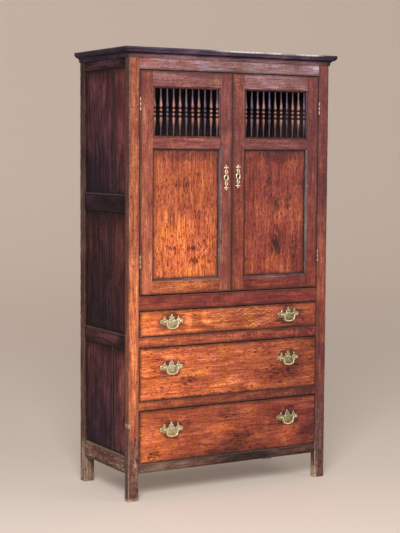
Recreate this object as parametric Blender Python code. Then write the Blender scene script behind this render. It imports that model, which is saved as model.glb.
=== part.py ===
"""Joined oak bread and cheese cupboard: two spindled doors over three long drawers.

Metres, +Z up, the front faces -Y. The origin is on the floor under the middle of the overall box.
Doors, drawers and bail handles hang on empties that sit on their joint axes.
"""

import math

import bmesh
import bpy
from mathutils import Matrix, Vector

# Case, measured over the posts
CASE_WIDTH = 1.000
CASE_DEPTH = 0.470
CASE_HEIGHT = 1.900
FIT = 0.0003
OVERRUN = 0.002

# Posts
POST_WIDTH = 0.050
FRONT_POST_DEPTH = 0.034
BACK_POST_DEPTH = 0.040
LEG_HEIGHT = 0.116

# Front rails and the openings between them, from the legs up
BOTTOM_RAIL_HEIGHT = 0.0395
BOTTOM_DRAWER_OPENING = 0.228
LOWER_DIVIDER_HEIGHT = 0.0385
MIDDLE_DRAWER_OPENING = 0.228
UPPER_DIVIDER_HEIGHT = 0.045
TOP_DRAWER_OPENING = 0.111
WAIST_RAIL_HEIGHT = 0.062
TOP_RAIL_HEIGHT = 0.074
FRONT_RAIL_THICKNESS = 0.026
FRONT_RAIL_SETBACK = 0.002
FRONT_RAIL_SHOULDER = 0.008

# Side rails and the panels between them, from the legs up
SIDE_BOTTOM_RAIL_HEIGHT = 0.072
SIDE_LOWER_PANEL_HEIGHT = 0.457
SIDE_LOWER_RAIL_HEIGHT = 0.060
SIDE_MIDDLE_PANEL_HEIGHT = 0.513
SIDE_UPPER_RAIL_HEIGHT = 0.075
SIDE_TOP_RAIL_HEIGHT = 0.064
SIDE_RAIL_THICKNESS = 0.022
SIDE_RAIL_SETBACK = 0.003
SIDE_RAIL_SHOULDER = 0.007
SIDE_RAIL_CHAMFER = 0.008
JOINT_WALL = 0.002
MORTISE_BACK_WALL = 0.020

# Boards
SIDE_BOARD_THICKNESS = 0.012
SIDE_BOARD_TONGUE = 0.006
SIDE_PANEL_RECESS = 0.0095
BACK_BOARD_THICKNESS = 0.012
BACK_BOARD_COUNT = 5
BOARD_JOINT_WIDTH = 0.003
BOARD_JOINT_DEPTH = 0.002
TOP_BOARD_THICKNESS = 0.016
FLOOR_THICKNESS = 0.018
FLOOR_DROP = 0.004
SHELF_THICKNESS = 0.016
SHELF_RISE = 0.440
HOUSING_DEPTH = 0.005

# Drawer runners on the side boards
RUNNER_WIDTH = 0.025
RUNNER_THICKNESS = 0.020
RUNNER_DROP = 0.0005
GUIDE_HEIGHT = 0.020

# Cornice moulding, from its foot up: outward and upward size of each member
CORNICE_FOOT = (0.004, 0.005)
CORNICE_COVE = (0.015, 0.016)
CORNICE_STEP = (0.002, 0.004)
CORNICE_OVOLO = (0.006, 0.011)
CORNICE_CAP_HEIGHT = 0.007
CORNICE_CURVE_STEPS = 4

# Doors
DOOR_THICKNESS = 0.024
DOOR_SETBACK = 0.0005
DOOR_STILE_WIDTH = 0.066
DOOR_TOP_RAIL_HEIGHT = 0.072
DOOR_MIDDLE_RAIL_HEIGHT = 0.060
DOOR_BOTTOM_RAIL_HEIGHT = 0.066
GALLERY_OPENING = 0.197
DOOR_SHOULDER = 0.008
DOOR_TENON = 0.040
DOOR_HINGE_GAP = 0.004
DOOR_MEETING_GAP = 0.003
DOOR_TOP_GAP = 0.003
DOOR_BOTTOM_GAP = 0.004
PANEL_THICKNESS = 0.008
PANEL_RECESS = 0.010
PANEL_GROOVE = 0.006
PANEL_MOULD = 0.008
GALLERY_MOULD = 0.004

# Turned spindles
SPINDLE_COUNT = 11
SPINDLE_END_INSET = 0.004
SPINDLE_DEPTH = 0.011
SPINDLE_SIDES = 8
SPINDLE_FOOT_RADIUS = 0.0035
SPINDLE_VASE_RADIUS = 0.0080
SPINDLE_NECK_RADIUS = 0.0032
SPINDLE_BEAD_RADIUS = 0.0072
SPINDLE_BEAD_HEIGHT = 0.011
SPINDLE_NECK_HEIGHT = 0.006
SPINDLE_VASE_SHOULDER = 0.010
SLIP_THICKNESS = 0.010
SLIP_HEIGHT = 0.006

# Butt hinges
HINGE_LENGTH = 0.060
HINGE_END_DISTANCE = 0.110
HINGE_BARREL_RADIUS = 0.004
HINGE_STANDOFF = 0.0035
HINGE_LEAF_THICKNESS = 0.0012
HINGE_LEAF_WIDTH = 0.024
HINGE_KNUCKLES = 5
HINGE_KNUCKLE_GROOVE = 0.0006
HINGE_SIDES = 8

# Drawers
DRAWER_SIDE_GAP = 0.0025
DRAWER_TOP_GAP = 0.003
DRAWER_BOTTOM_GAP = 0.0015
DRAWER_FRONT_THICKNESS = 0.022
DRAWER_FRONT_PROUD = 0.002
DRAWER_FRONT_EDGE = 0.005
DRAWER_WALL = 0.012
DRAWER_BOTTOM = 0.008
DRAWER_BOX_TOP_GAP = 0.010
DRAWER_BOX_RUN_GAP = 0.0002
DRAWER_BACK_GAP = 0.020

# Drawer handles
HANDLE_END_DISTANCE = 0.1515
PLATE_THICKNESS = 0.0016
PILLAR_SPREAD = 0.076
PILLAR_RISE = 0.004
PILLAR_FOOT_RADIUS = 0.0055
PILLAR_NECK_RADIUS = 0.0032
PILLAR_HEAD_RADIUS = 0.0048
PILLAR_HEIGHT = 0.0155
PILLAR_SIDES = 8
PIVOT_HEIGHT = 0.011
PIVOT_BORE_RADIUS = 0.0021
BAIL_PIN_RADIUS = 0.0016
BAIL_RADIUS = 0.0026
BAIL_DROP = 0.030
BAIL_ARM_RADIUS = 0.025
BAIL_STEPS = 3

# Faces and levels that follow from the sizes above
CORNICE_PROJECTION = CORNICE_FOOT[0] + CORNICE_COVE[0] + CORNICE_STEP[0] + CORNICE_OVOLO[0]
CORNICE_HEIGHT = CORNICE_FOOT[1] + CORNICE_COVE[1] + CORNICE_STEP[1] + CORNICE_OVOLO[1] + CORNICE_CAP_HEIGHT
HALF = CASE_WIDTH / 2
FRONT = (CORNICE_PROJECTION - CASE_DEPTH) / 2
BACK = FRONT + CASE_DEPTH
FRAME_TOP = CASE_HEIGHT - TOP_BOARD_THICKNESS - FIT
OPENING_HALF = HALF - POST_WIDTH
POST_REAR = FRONT + FRONT_POST_DEPTH
BACK_POST_FACE = BACK - BACK_POST_DEPTH
RAIL_FACE = FRONT + FRONT_RAIL_SETBACK
RAIL_REAR = RAIL_FACE + FRONT_RAIL_THICKNESS
SIDE_RAIL_OUTER = HALF - SIDE_RAIL_SETBACK
SIDE_RAIL_INNER = SIDE_RAIL_OUTER - SIDE_RAIL_THICKNESS
SIDE_BOARD_OUTER = SIDE_RAIL_INNER - FIT
SIDE_BOARD_INNER = SIDE_BOARD_OUTER - SIDE_BOARD_THICKNESS
SIDE_PANEL_FACE = HALF - SIDE_PANEL_RECESS
BACK_BOARD_FACE = BACK - BACK_BOARD_THICKNESS
FRONT_TENON = POST_WIDTH - MORTISE_BACK_WALL
SIDE_TENON = POST_REAR - RAIL_REAR + FRONT_RAIL_SHOULDER - JOINT_WALL
DOOR_FACE = FRONT + DOOR_SETBACK
DOOR_REAR = DOOR_FACE + DOOR_THICKNESS
DOOR_INNER = DOOR_MEETING_GAP / 2
DOOR_OUTER = OPENING_HALF - DOOR_HINGE_GAP
DRAWER_HALF = OPENING_HALF - DRAWER_SIDE_GAP
DRAWER_FACE = FRONT - DRAWER_FRONT_PROUD
DRAWER_FRONT_REAR = DRAWER_FACE + DRAWER_FRONT_THICKNESS
PIVOT_Y = DRAWER_FACE - FIT - PIVOT_HEIGHT

# Half of the bat-wing plate's edge as arcs from the top middle: (point on the arc, end of the arc)
PLATE_TOP = (0.0, 0.035)
PLATE_ARCS = (
    ((0.0038, 0.0330), (0.0055, 0.0285)),
    ((0.0048, 0.0260), (0.0065, 0.0240)),
    ((0.0095, 0.0236), (0.0125, 0.0210)),
    ((0.0120, 0.0182), (0.0100, 0.0160)),
    ((0.0145, 0.0105), (0.0200, 0.0090)),
    ((0.0265, 0.0125), (0.0295, 0.0200)),
    ((0.0307, 0.0250), (0.0335, 0.0280)),
    ((0.0350, 0.0220), (0.0380, 0.0165)),
    ((0.0415, 0.0132), (0.0460, 0.0125)),
    ((0.0538, 0.0095), (0.0565, 0.0030)),
    ((0.0540, -0.0045), (0.0475, -0.0065)),
    ((0.0435, -0.0050), (0.0400, -0.0075)),
    ((0.0370, -0.0110), (0.0325, -0.0105)),
    ((0.0285, -0.0108), (0.0265, -0.0145)),
    ((0.0180, -0.0265), (0.0, -0.0310)),
)
PLATE_ARC_STEPS = 2

# Name, opening and height of the handles over the middle of the front
DRAWERS = (
    ("top_drawer", "top_drawer", 0.003),
    ("middle_drawer", "middle_drawer", 0.023),
    ("bottom_drawer", "bottom_drawer", 0.023),
)


def front_levels():
    """Return the height range of each front rail and opening."""
    stack = (
        ("bottom_rail", BOTTOM_RAIL_HEIGHT),
        ("bottom_drawer", BOTTOM_DRAWER_OPENING),
        ("lower_divider", LOWER_DIVIDER_HEIGHT),
        ("middle_drawer", MIDDLE_DRAWER_OPENING),
        ("upper_divider", UPPER_DIVIDER_HEIGHT),
        ("top_drawer", TOP_DRAWER_OPENING),
        ("waist_rail", WAIST_RAIL_HEIGHT),
    )
    levels = {}
    height = LEG_HEIGHT
    for name, size in stack:
        levels[name] = (height, height + size)
        height += size
    levels["top_rail"] = (FRAME_TOP - TOP_RAIL_HEIGHT, FRAME_TOP)
    levels["doors"] = (height + DOOR_BOTTOM_GAP, levels["top_rail"][0] - DOOR_TOP_GAP)
    return levels


def side_levels():
    """Return the height range of each side rail."""
    lower = LEG_HEIGHT + SIDE_BOTTOM_RAIL_HEIGHT + SIDE_LOWER_PANEL_HEIGHT
    upper = lower + SIDE_LOWER_RAIL_HEIGHT + SIDE_MIDDLE_PANEL_HEIGHT
    return {
        "bottom_rail": (LEG_HEIGHT, LEG_HEIGHT + SIDE_BOTTOM_RAIL_HEIGHT),
        "lower_rail": (lower, lower + SIDE_LOWER_RAIL_HEIGHT),
        "upper_rail": (upper, upper + SIDE_UPPER_RAIL_HEIGHT),
        "top_rail": (FRAME_TOP - SIDE_TOP_RAIL_HEIGHT, FRAME_TOP),
    }


def clear_scene():
    """Remove what the start-up scene holds."""
    for thing in list(bpy.data.objects):
        bpy.data.objects.remove(thing, do_unlink=True)


def material(name, colour, roughness, metallic):
    """Return a Principled BSDF material."""
    found = bpy.data.materials.get(name)
    if found:
        return found
    made = bpy.data.materials.new(name)
    made.use_nodes = True
    shader = made.node_tree.nodes["Principled BSDF"]
    shader.inputs["Base Color"].default_value = (*colour, 1.0)
    shader.inputs["Roughness"].default_value = roughness
    shader.inputs["Metallic"].default_value = metallic
    return made


def dark_oak():
    """Return the oak of the sides."""
    return material("dark_oak", (0.055, 0.022, 0.020), 0.5, 0.0)


def cornice_oak():
    """Return the near black oak of the cornice."""
    return material("cornice_oak", (0.030, 0.020, 0.022), 0.45, 0.0)


def frame_oak():
    """Return the red brown oak of the front frame and door frames."""
    return material("frame_oak", (0.240, 0.085, 0.050), 0.45, 0.0)


def panel_oak():
    """Return the orange oak of the door panels and drawer fronts."""
    return material("panel_oak", (0.440, 0.140, 0.045), 0.4, 0.0)


def inner_oak():
    """Return the unpolished oak inside."""
    return material("inner_oak", (0.120, 0.070, 0.040), 0.7, 0.0)


def brass():
    """Return the brass of the handles."""
    return material("brass", (0.560, 0.450, 0.220), 0.35, 1.0)


def iron():
    """Return the iron of the hinges."""
    return material("iron", (0.300, 0.270, 0.240), 0.5, 1.0)


def empty(name, place):
    """Add an empty on a joint axis."""
    made = bpy.data.objects.new(name, None)
    made.location = place
    bpy.context.collection.objects.link(made)
    return made


def finish(name, mesh, finish_material, parent=None, origin=None):
    """Turn a mesh built in world places into an object with its own origin."""
    data = bpy.data.meshes.new(name)
    if origin is None:
        low, high = extent(mesh)
        origin = (low + high) / 2
    origin = Vector(origin)
    bmesh.ops.translate(mesh, verts=mesh.verts, vec=-origin)
    bmesh.ops.recalc_face_normals(mesh, faces=mesh.faces)
    mesh.to_mesh(data)
    mesh.free()
    if finish_material:
        data.materials.append(finish_material)
    made = bpy.data.objects.new(name, data)
    bpy.context.collection.objects.link(made)
    made.parent = parent
    made.location = origin - (parent.location if parent else Vector())
    return made


def extent(mesh):
    """Return the corners of the box around a mesh."""
    spots = [v.co for v in mesh.verts]
    low = Vector(min(s[i] for s in spots) for i in range(3))
    high = Vector(max(s[i] for s in spots) for i in range(3))
    return low, high


def block(low, high):
    """Return a box between two corners."""
    mesh = bmesh.new()
    low, high = Vector(map(min, low, high)), Vector(map(max, low, high))
    bmesh.ops.create_cube(mesh, size=1.0)
    bmesh.ops.scale(mesh, verts=mesh.verts, vec=high - low)
    bmesh.ops.translate(mesh, verts=mesh.verts, vec=(low + high) / 2)
    return mesh


def prism(outline, axis, start, stop):
    """Extrude a flat outline along one axis (0, 1 or 2) from start to stop."""
    mesh = bmesh.new()
    spots = [list(point) for point in outline]
    for spot in spots:
        spot.insert(axis, start)
    face = mesh.faces.new([mesh.verts.new(spot) for spot in spots])
    grown = bmesh.ops.extrude_face_region(mesh, geom=[face])["geom"]
    step = Vector()
    step[axis] = stop - start
    bmesh.ops.translate(mesh, verts=[v for v in grown if isinstance(v, bmesh.types.BMVert)], vec=step)
    return mesh


def turned(profile, sides):
    """Spin (radius, height) points round Z into a closed turning."""
    mesh = bmesh.new()
    verts = [mesh.verts.new((radius, 0.0, height)) for radius, height in profile]
    edges = [mesh.edges.new(pair) for pair in zip(verts, verts[1:])]
    bmesh.ops.spin(
        mesh, geom=verts + edges, cent=(0, 0, 0), axis=(0, 0, 1), angle=math.tau, steps=sides, use_merge=True
    )
    bmesh.ops.remove_doubles(mesh, verts=mesh.verts, dist=FIT / 100)
    bmesh.ops.recalc_face_normals(mesh, faces=mesh.faces)
    return mesh


def hide(cutter):
    """Keep a Boolean operand out of the parts."""
    cutter.hide_render = True
    cutter.display_type = "WIRE"
    return cutter


def combine(piece, operand, operation):
    """Cut or join a hidden operand with a piece."""
    hide(operand)
    step = piece.modifiers.new(operand.name, "BOOLEAN")
    step.operation = operation
    step.solver = "EXACT"
    step.object = operand


def cut(piece, name, mesh):
    """Cut a mesh out of a piece."""
    combine(piece, finish(f"{piece.name}_{name}", mesh, None), "DIFFERENCE")


def fuse(piece, name, mesh):
    """Join a mesh to a piece."""
    combine(piece, finish(f"{piece.name}_{name}", mesh, None), "UNION")


def socket(low, high):
    """Return a cutter one fit larger than the box that goes into it."""
    low, high = Vector(map(min, low, high)), Vector(map(max, low, high))
    slack = Vector((FIT, FIT, FIT))
    return block(low - slack, high + slack)


def settled(piece):
    """Return a mesh of a piece with its modifiers applied, and drop the piece."""
    shape = bpy.data.meshes.new_from_object(piece.evaluated_get(bpy.context.evaluated_depsgraph_get()))
    operands = [step.object for step in piece.modifiers]
    for thing in [piece, *operands]:
        bpy.data.objects.remove(thing, do_unlink=True)
    return shape


def tenoned(name, low, high, axis, shoulder, tenon, finish_material, parent=None, chamfer=0.0):
    """Make a rail with a tenon on both ends and return it with its two tenon boxes."""
    mesh = block(low, high)
    low, high = extent(mesh)
    ends = [f for f in mesh.faces if abs(f.normal[axis]) > 0.5]
    boxes = []
    for face in ends:
        way = 1 if face.normal[axis] > 0 else -1
        bmesh.ops.inset_region(mesh, faces=[face], thickness=shoulder, use_even_offset=True)
        grown = bmesh.ops.extrude_face_region(mesh, geom=[face])["geom"]
        step = Vector()
        step[axis] = way * tenon
        bmesh.ops.translate(mesh, verts=[v for v in grown if isinstance(v, bmesh.types.BMVert)], vec=step)
        mesh.faces.remove(face)
        tip_low, tip_high = low + Vector((shoulder,) * 3), high - Vector((shoulder,) * 3)
        base = high[axis] if way > 0 else low[axis]
        tip_low[axis] = base - way * OVERRUN
        tip_high[axis] = base + way * tenon
        boxes.append((tip_low, tip_high))
    if chamfer:
        chamfer_upper_edge(mesh, low, high, axis, chamfer)
    return finish(name, mesh, finish_material, parent), boxes


def chamfer_upper_edge(mesh, low, high, axis, size):
    """Take the outer upper edge of a side rail off at a slope."""
    outer = low[0] if abs(low[0]) > abs(high[0]) else high[0]

    def on_edge(vert):
        return abs(vert.co.x - outer) < FIT and abs(vert.co.z - high.z) < FIT

    edges = [e for e in mesh.edges if all(on_edge(v) for v in e.verts)]
    bmesh.ops.bevel(mesh, geom=edges, offset=size, segments=1, profile=0.5, affect="EDGES", material=-1)


def mirrored(side, low, high):
    """Return a box given for the +X side, put on the side asked for."""
    return (side * low[0], low[1], low[2]), (side * high[0], high[1], high[2])


def side_name(side):
    """Return the word for a side as seen from the front."""
    return "left" if side < 0 else "right"


def make_rails():
    """Make front and side rails and return their tenon boxes by the posts they go into."""
    tenons = {(depth, side): [] for depth in ("front", "back") for side in (-1, 1)}
    for key, (bottom, top) in front_levels().items():
        if key in ("doors", "top_drawer", "middle_drawer", "bottom_drawer"):
            continue
        reach = OPENING_HALF - FIT
        _, boxes = tenoned(
            f"front_{key}", (-reach, RAIL_FACE, bottom), (reach, RAIL_REAR, top),
            0, FRONT_RAIL_SHOULDER, FRONT_TENON, frame_oak(),
        )
        for low, high in boxes:
            tenons["front", -1 if high[0] < 0 else 1].append((low, high))
    for side in (-1, 1):
        for key, (bottom, top) in side_levels().items():
            low, high = mirrored(
                side, (SIDE_RAIL_INNER, POST_REAR + FIT, bottom), (SIDE_RAIL_OUTER, BACK_POST_FACE - FIT, top)
            )
            chamfer = 0.0 if key == "top_rail" else SIDE_RAIL_CHAMFER
            _, boxes = tenoned(
                f"{side_name(side)}_side_{key}", low, high, 1, SIDE_RAIL_SHOULDER, SIDE_TENON, dark_oak(),
                chamfer=min(chamfer, SIDE_RAIL_SHOULDER - FIT),
            )
            for tip_low, tip_high in boxes:
                end = "front" if tip_high[1] < tip_low[1] else "back"
                tenons[end, side].append((tip_low, tip_high))
    return tenons


def make_posts(tenons):
    """Make the four posts with mortises, board grooves and the back rebate."""
    faces = {"front": (FRONT, POST_REAR), "back": (BACK_POST_FACE, BACK)}
    for (depth, side), boxes in tenons.items():
        low, high = mirrored(side, (OPENING_HALF, faces[depth][0], 0.0), (HALF, faces[depth][1], FRAME_TOP))
        finish_material = frame_oak() if depth == "front" else dark_oak()
        post = finish(f"{depth}_{side_name(side)}_post", block(low, high), finish_material)
        for number, (tip_low, tip_high) in enumerate(boxes):
            cut(post, f"mortise_{number}", socket(tip_low, tip_high))
        groove = (POST_REAR - SIDE_BOARD_TONGUE, POST_REAR + OVERRUN)
        if depth == "back":
            groove = (BACK_POST_FACE - OVERRUN, BACK_POST_FACE + SIDE_BOARD_TONGUE)
        cut(post, "board_groove", socket(*mirrored(
            side, (SIDE_BOARD_INNER, groove[0], LEG_HEIGHT), (SIDE_BOARD_OUTER, groove[1], FRAME_TOP + OVERRUN)
        )))
        if depth == "back":
            cut(post, "back_rebate", block(*mirrored(
                side, (OPENING_HALF - OVERRUN, BACK_BOARD_FACE - FIT, LEG_HEIGHT - FIT),
                (OPENING_HALF + BACK_BOARD_THICKNESS, BACK + OVERRUN, FRAME_TOP + OVERRUN)
            )))


def floor_range():
    """Return the height range of the cupboard floor."""
    top = front_levels()["waist_rail"][1] - FLOOR_DROP
    return top - FLOOR_THICKNESS, top


def shelf_range():
    """Return the height range of the shelf."""
    bottom = floor_range()[1] + SHELF_RISE
    return bottom, bottom + SHELF_THICKNESS


def side_panel_ranges():
    """Return the height range of each side panel, from the lowest up."""
    rails = list(side_levels().values())
    return [(below[1], above[0]) for below, above in zip(rails, rails[1:])]


def make_side_boards():
    """Make the sides: boards that lap behind the rails and fill between them, with runners nailed on."""
    levels = front_levels()
    wall = SIDE_BOARD_INNER + SIDE_BOARD_THICKNESS / 2
    for side in (-1, 1):
        low, high = mirrored(
            side, (SIDE_BOARD_INNER, POST_REAR - SIDE_BOARD_TONGUE, LEG_HEIGHT),
            (SIDE_BOARD_OUTER, BACK_POST_FACE + SIDE_BOARD_TONGUE, FRAME_TOP)
        )
        boards = finish(f"{side_name(side)}_side_boards", block(low, high), dark_oak())
        for name, (bottom, top) in (("floor", floor_range()), ("shelf", shelf_range())):
            cut(boards, f"{name}_housing", socket(*mirrored(
                side, (SIDE_BOARD_INNER - OVERRUN, POST_REAR, bottom),
                (SIDE_BOARD_INNER + HOUSING_DEPTH, BACK_POST_FACE, top)
            )))
        for number, (bottom, top) in enumerate(side_panel_ranges()):
            fuse(boards, f"panel_{number}", block(*mirrored(
                side, (wall, POST_REAR + FIT, bottom + FIT), (SIDE_PANEL_FACE, BACK_POST_FACE - FIT, top - FIT)
            )))
        for name in ("top_drawer", "middle_drawer", "bottom_drawer"):
            bed = levels[name][0] - RUNNER_DROP
            outline = [
                (side * wall, bed - RUNNER_THICKNESS), (side * wall, bed + GUIDE_HEIGHT),
                (side * OPENING_HALF, bed + GUIDE_HEIGHT), (side * OPENING_HALF, bed),
                (side * (OPENING_HALF - RUNNER_WIDTH), bed),
                (side * (OPENING_HALF - RUNNER_WIDTH), bed - RUNNER_THICKNESS),
            ]
            fuse(boards, f"{name}_runner", prism(outline, 1, POST_REAR + FIT, BACK_POST_FACE - FIT))


def make_flat_boards():
    """Make the back boards, top board, cupboard floor and shelf."""
    reach = OPENING_HALF + BACK_BOARD_THICKNESS - FIT
    back = finish("back_boards", block((-reach, BACK_BOARD_FACE, LEG_HEIGHT), (reach, BACK, FRAME_TOP)), inner_oak())
    for number in range(1, BACK_BOARD_COUNT):
        middle = -reach + 2 * reach * number / BACK_BOARD_COUNT
        outline = [
            (middle - BOARD_JOINT_WIDTH, BACK + BOARD_JOINT_DEPTH),
            (middle + BOARD_JOINT_WIDTH, BACK + BOARD_JOINT_DEPTH),
            (middle, BACK - BOARD_JOINT_DEPTH),
        ]
        cut(back, f"joint_{number}", prism(outline, 2, LEG_HEIGHT - OVERRUN, FRAME_TOP + OVERRUN))
    finish("top_board", block((-HALF, FRONT, FRAME_TOP + FIT), (HALF, BACK, CASE_HEIGHT)), dark_oak())
    housed = SIDE_BOARD_INNER + HOUSING_DEPTH
    between = OPENING_HALF - FIT
    behind_post, before_post = POST_REAR + FIT, BACK_POST_FACE - FIT
    rear = BACK_BOARD_FACE - FIT
    half = [(between, rear), (between, before_post), (housed, before_post), (housed, behind_post)]
    for name, front, (bottom, top) in (
        ("cupboard_floor", RAIL_REAR + FIT, floor_range()), ("shelf", behind_post, shelf_range())
    ):
        right = half + ([(between, behind_post), (between, front)] if front < behind_post else [])
        outline = right + [(-x, y) for x, y in reversed(right)]
        finish(name, prism(outline, 2, bottom, top), inner_oak())


def quarter(start, size, hollow):
    """Return the points of a quarter curve from start, hollow or round, without its first point."""
    points = []
    for step in range(1, CORNICE_CURVE_STEPS + 1):
        angle = math.pi / 2 * step / CORNICE_CURVE_STEPS
        first, second = 1 - math.cos(angle), math.sin(angle)
        along, rise = (first, second) if hollow else (second, first)
        points.append((start[0] + size[0] * along, start[1] + size[1] * rise))
    return points


def cornice_profile():
    """Return the moulding's section as (outward, height) points."""
    points = [(FIT, 0.0), (CORNICE_FOOT[0], 0.0), CORNICE_FOOT]
    points += quarter(points[-1], CORNICE_COVE, True)
    points.append((points[-1][0] + CORNICE_STEP[0], points[-1][1]))
    points.append((points[-1][0], points[-1][1] + CORNICE_STEP[1]))
    points += quarter(points[-1], CORNICE_OVOLO, False)
    points.append((CORNICE_PROJECTION, CORNICE_HEIGHT))
    points.append((FIT, CORNICE_HEIGHT))
    return points


def make_cornice():
    """Sweep the moulding round the two sides and the front with mitred corners."""
    mesh = bmesh.new()
    base = CASE_HEIGHT - CORNICE_HEIGHT
    rings = []
    for x_side, at_front in ((-1, False), (-1, True), (1, True), (1, False)):
        ring = []
        for out, rise in cornice_profile():
            y = FRONT - out if at_front else BACK
            ring.append(mesh.verts.new((x_side * (HALF + out), y, base + rise)))
        rings.append(ring)
    for ring, after in zip(rings, rings[1:]):
        for number in range(len(ring)):
            following = (number + 1) % len(ring)
            mesh.faces.new((ring[number], ring[following], after[following], after[number]))
    mesh.faces.new(rings[0])
    mesh.faces.new(rings[-1])
    finish("cornice", mesh, cornice_oak())


def opening_mould(low, high, size):
    """Return a cutter that slopes the front edges round a door opening."""
    mesh = block((low[0], DOOR_FACE - size, low[1]), (high[0], DOOR_FACE + size, high[1]))
    middle = Vector(((low[0] + high[0]) / 2, 0.0, (low[1] + high[1]) / 2))
    for vert in mesh.verts:
        if vert.co.y < DOOR_FACE:
            vert.co.x += math.copysign(2 * size, vert.co.x - middle.x)
            vert.co.z += math.copysign(2 * size, vert.co.z - middle.z)
    return mesh


def spindle_profile(length):
    """Return the turning's (radius, height) points from end to end, the same both ways."""
    half = length / 2
    lower_bead = (
        (SPINDLE_BEAD_RADIUS, half - SPINDLE_NECK_HEIGHT / 2 - SPINDLE_BEAD_HEIGHT),
        (SPINDLE_BEAD_RADIUS, half - SPINDLE_NECK_HEIGHT / 2),
    )
    vase_top = lower_bead[0][1] - SPINDLE_NECK_HEIGHT
    shoulder = vase_top - SPINDLE_VASE_SHOULDER
    points = [
        (0.0, 0.0),
        (SPINDLE_FOOT_RADIUS, 0.0),
        (SPINDLE_FOOT_RADIUS, shoulder * 0.3),
        (SPINDLE_VASE_RADIUS * 0.75, shoulder * 0.75),
        (SPINDLE_VASE_RADIUS, shoulder),
        (SPINDLE_VASE_RADIUS * 0.85, vase_top),
        (SPINDLE_NECK_RADIUS, (vase_top + lower_bead[0][1]) / 2),
        *lower_bead,
        (SPINDLE_NECK_RADIUS, half),
    ]
    return points + [(radius, length - height) for radius, height in reversed(points[:-1])]


def make_gallery(side, hinge, low, high):
    """Make the row of spindles between two slips that lie in the rails' grooves."""
    middle = DOOR_FACE + SPINDLE_DEPTH
    near, far = middle - SLIP_THICKNESS / 2, middle + SLIP_THICKNESS / 2
    mesh = bmesh.new()
    slips = ((low[1] - SLIP_HEIGHT, low[1] - FIT), (high[1] + FIT, high[1] + SLIP_HEIGHT))
    for bottom, top in slips:
        slip = block((low[0] + FIT, near, bottom), (high[0] - FIT, far, top))
        piece = bpy.data.meshes.new("slip")
        slip.to_mesh(piece)
        slip.free()
        mesh.from_mesh(piece)
    row = finish(f"{side_name(side)}_spindle_gallery", mesh, frame_oak(), hinge)
    pitch = (high[0] - low[0] - 2 * SPINDLE_END_INSET) / (SPINDLE_COUNT - 1)
    embed = SLIP_HEIGHT / 2
    turning = turned(spindle_profile(high[1] - low[1] + 2 * embed), SPINDLE_SIDES)
    bmesh.ops.rotate(turning, verts=turning.verts, matrix=Matrix.Rotation(math.pi / SPINDLE_SIDES, 3, "Z"))
    bmesh.ops.translate(turning, verts=turning.verts, vec=(0.0, middle, low[1] - embed))
    spindle = bpy.data.meshes.new("spindle")
    turning.to_mesh(spindle)
    turning.free()
    whole = bmesh.new()
    for number in range(SPINDLE_COUNT):
        one = bmesh.new()
        one.from_mesh(spindle)
        bmesh.ops.translate(one, verts=one.verts, vec=(low[0] + SPINDLE_END_INSET + pitch * number, 0.0, 0.0))
        if number in (0, SPINDLE_COUNT - 1):
            way = -1 if number == 0 else 1
            edge = (low[0] + 2 * FIT) if number == 0 else (high[0] - 2 * FIT)
            sliced = bmesh.ops.bisect_plane(
                one, geom=one.verts[:] + one.edges[:] + one.faces[:], plane_co=(edge, 0, 0),
                plane_no=(way, 0, 0), clear_outer=True
            )
            rim = [g for g in sliced["geom_cut"] if isinstance(g, bmesh.types.BMEdge)]
            bmesh.ops.contextual_create(one, geom=rim)
        part = bpy.data.meshes.new("turning")
        one.to_mesh(part)
        one.free()
        whole.from_mesh(part)
    fuse(row, "spindles", whole)
    return [((low[0], near, bottom), (high[0], far, top)) for bottom, top in slips]


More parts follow.
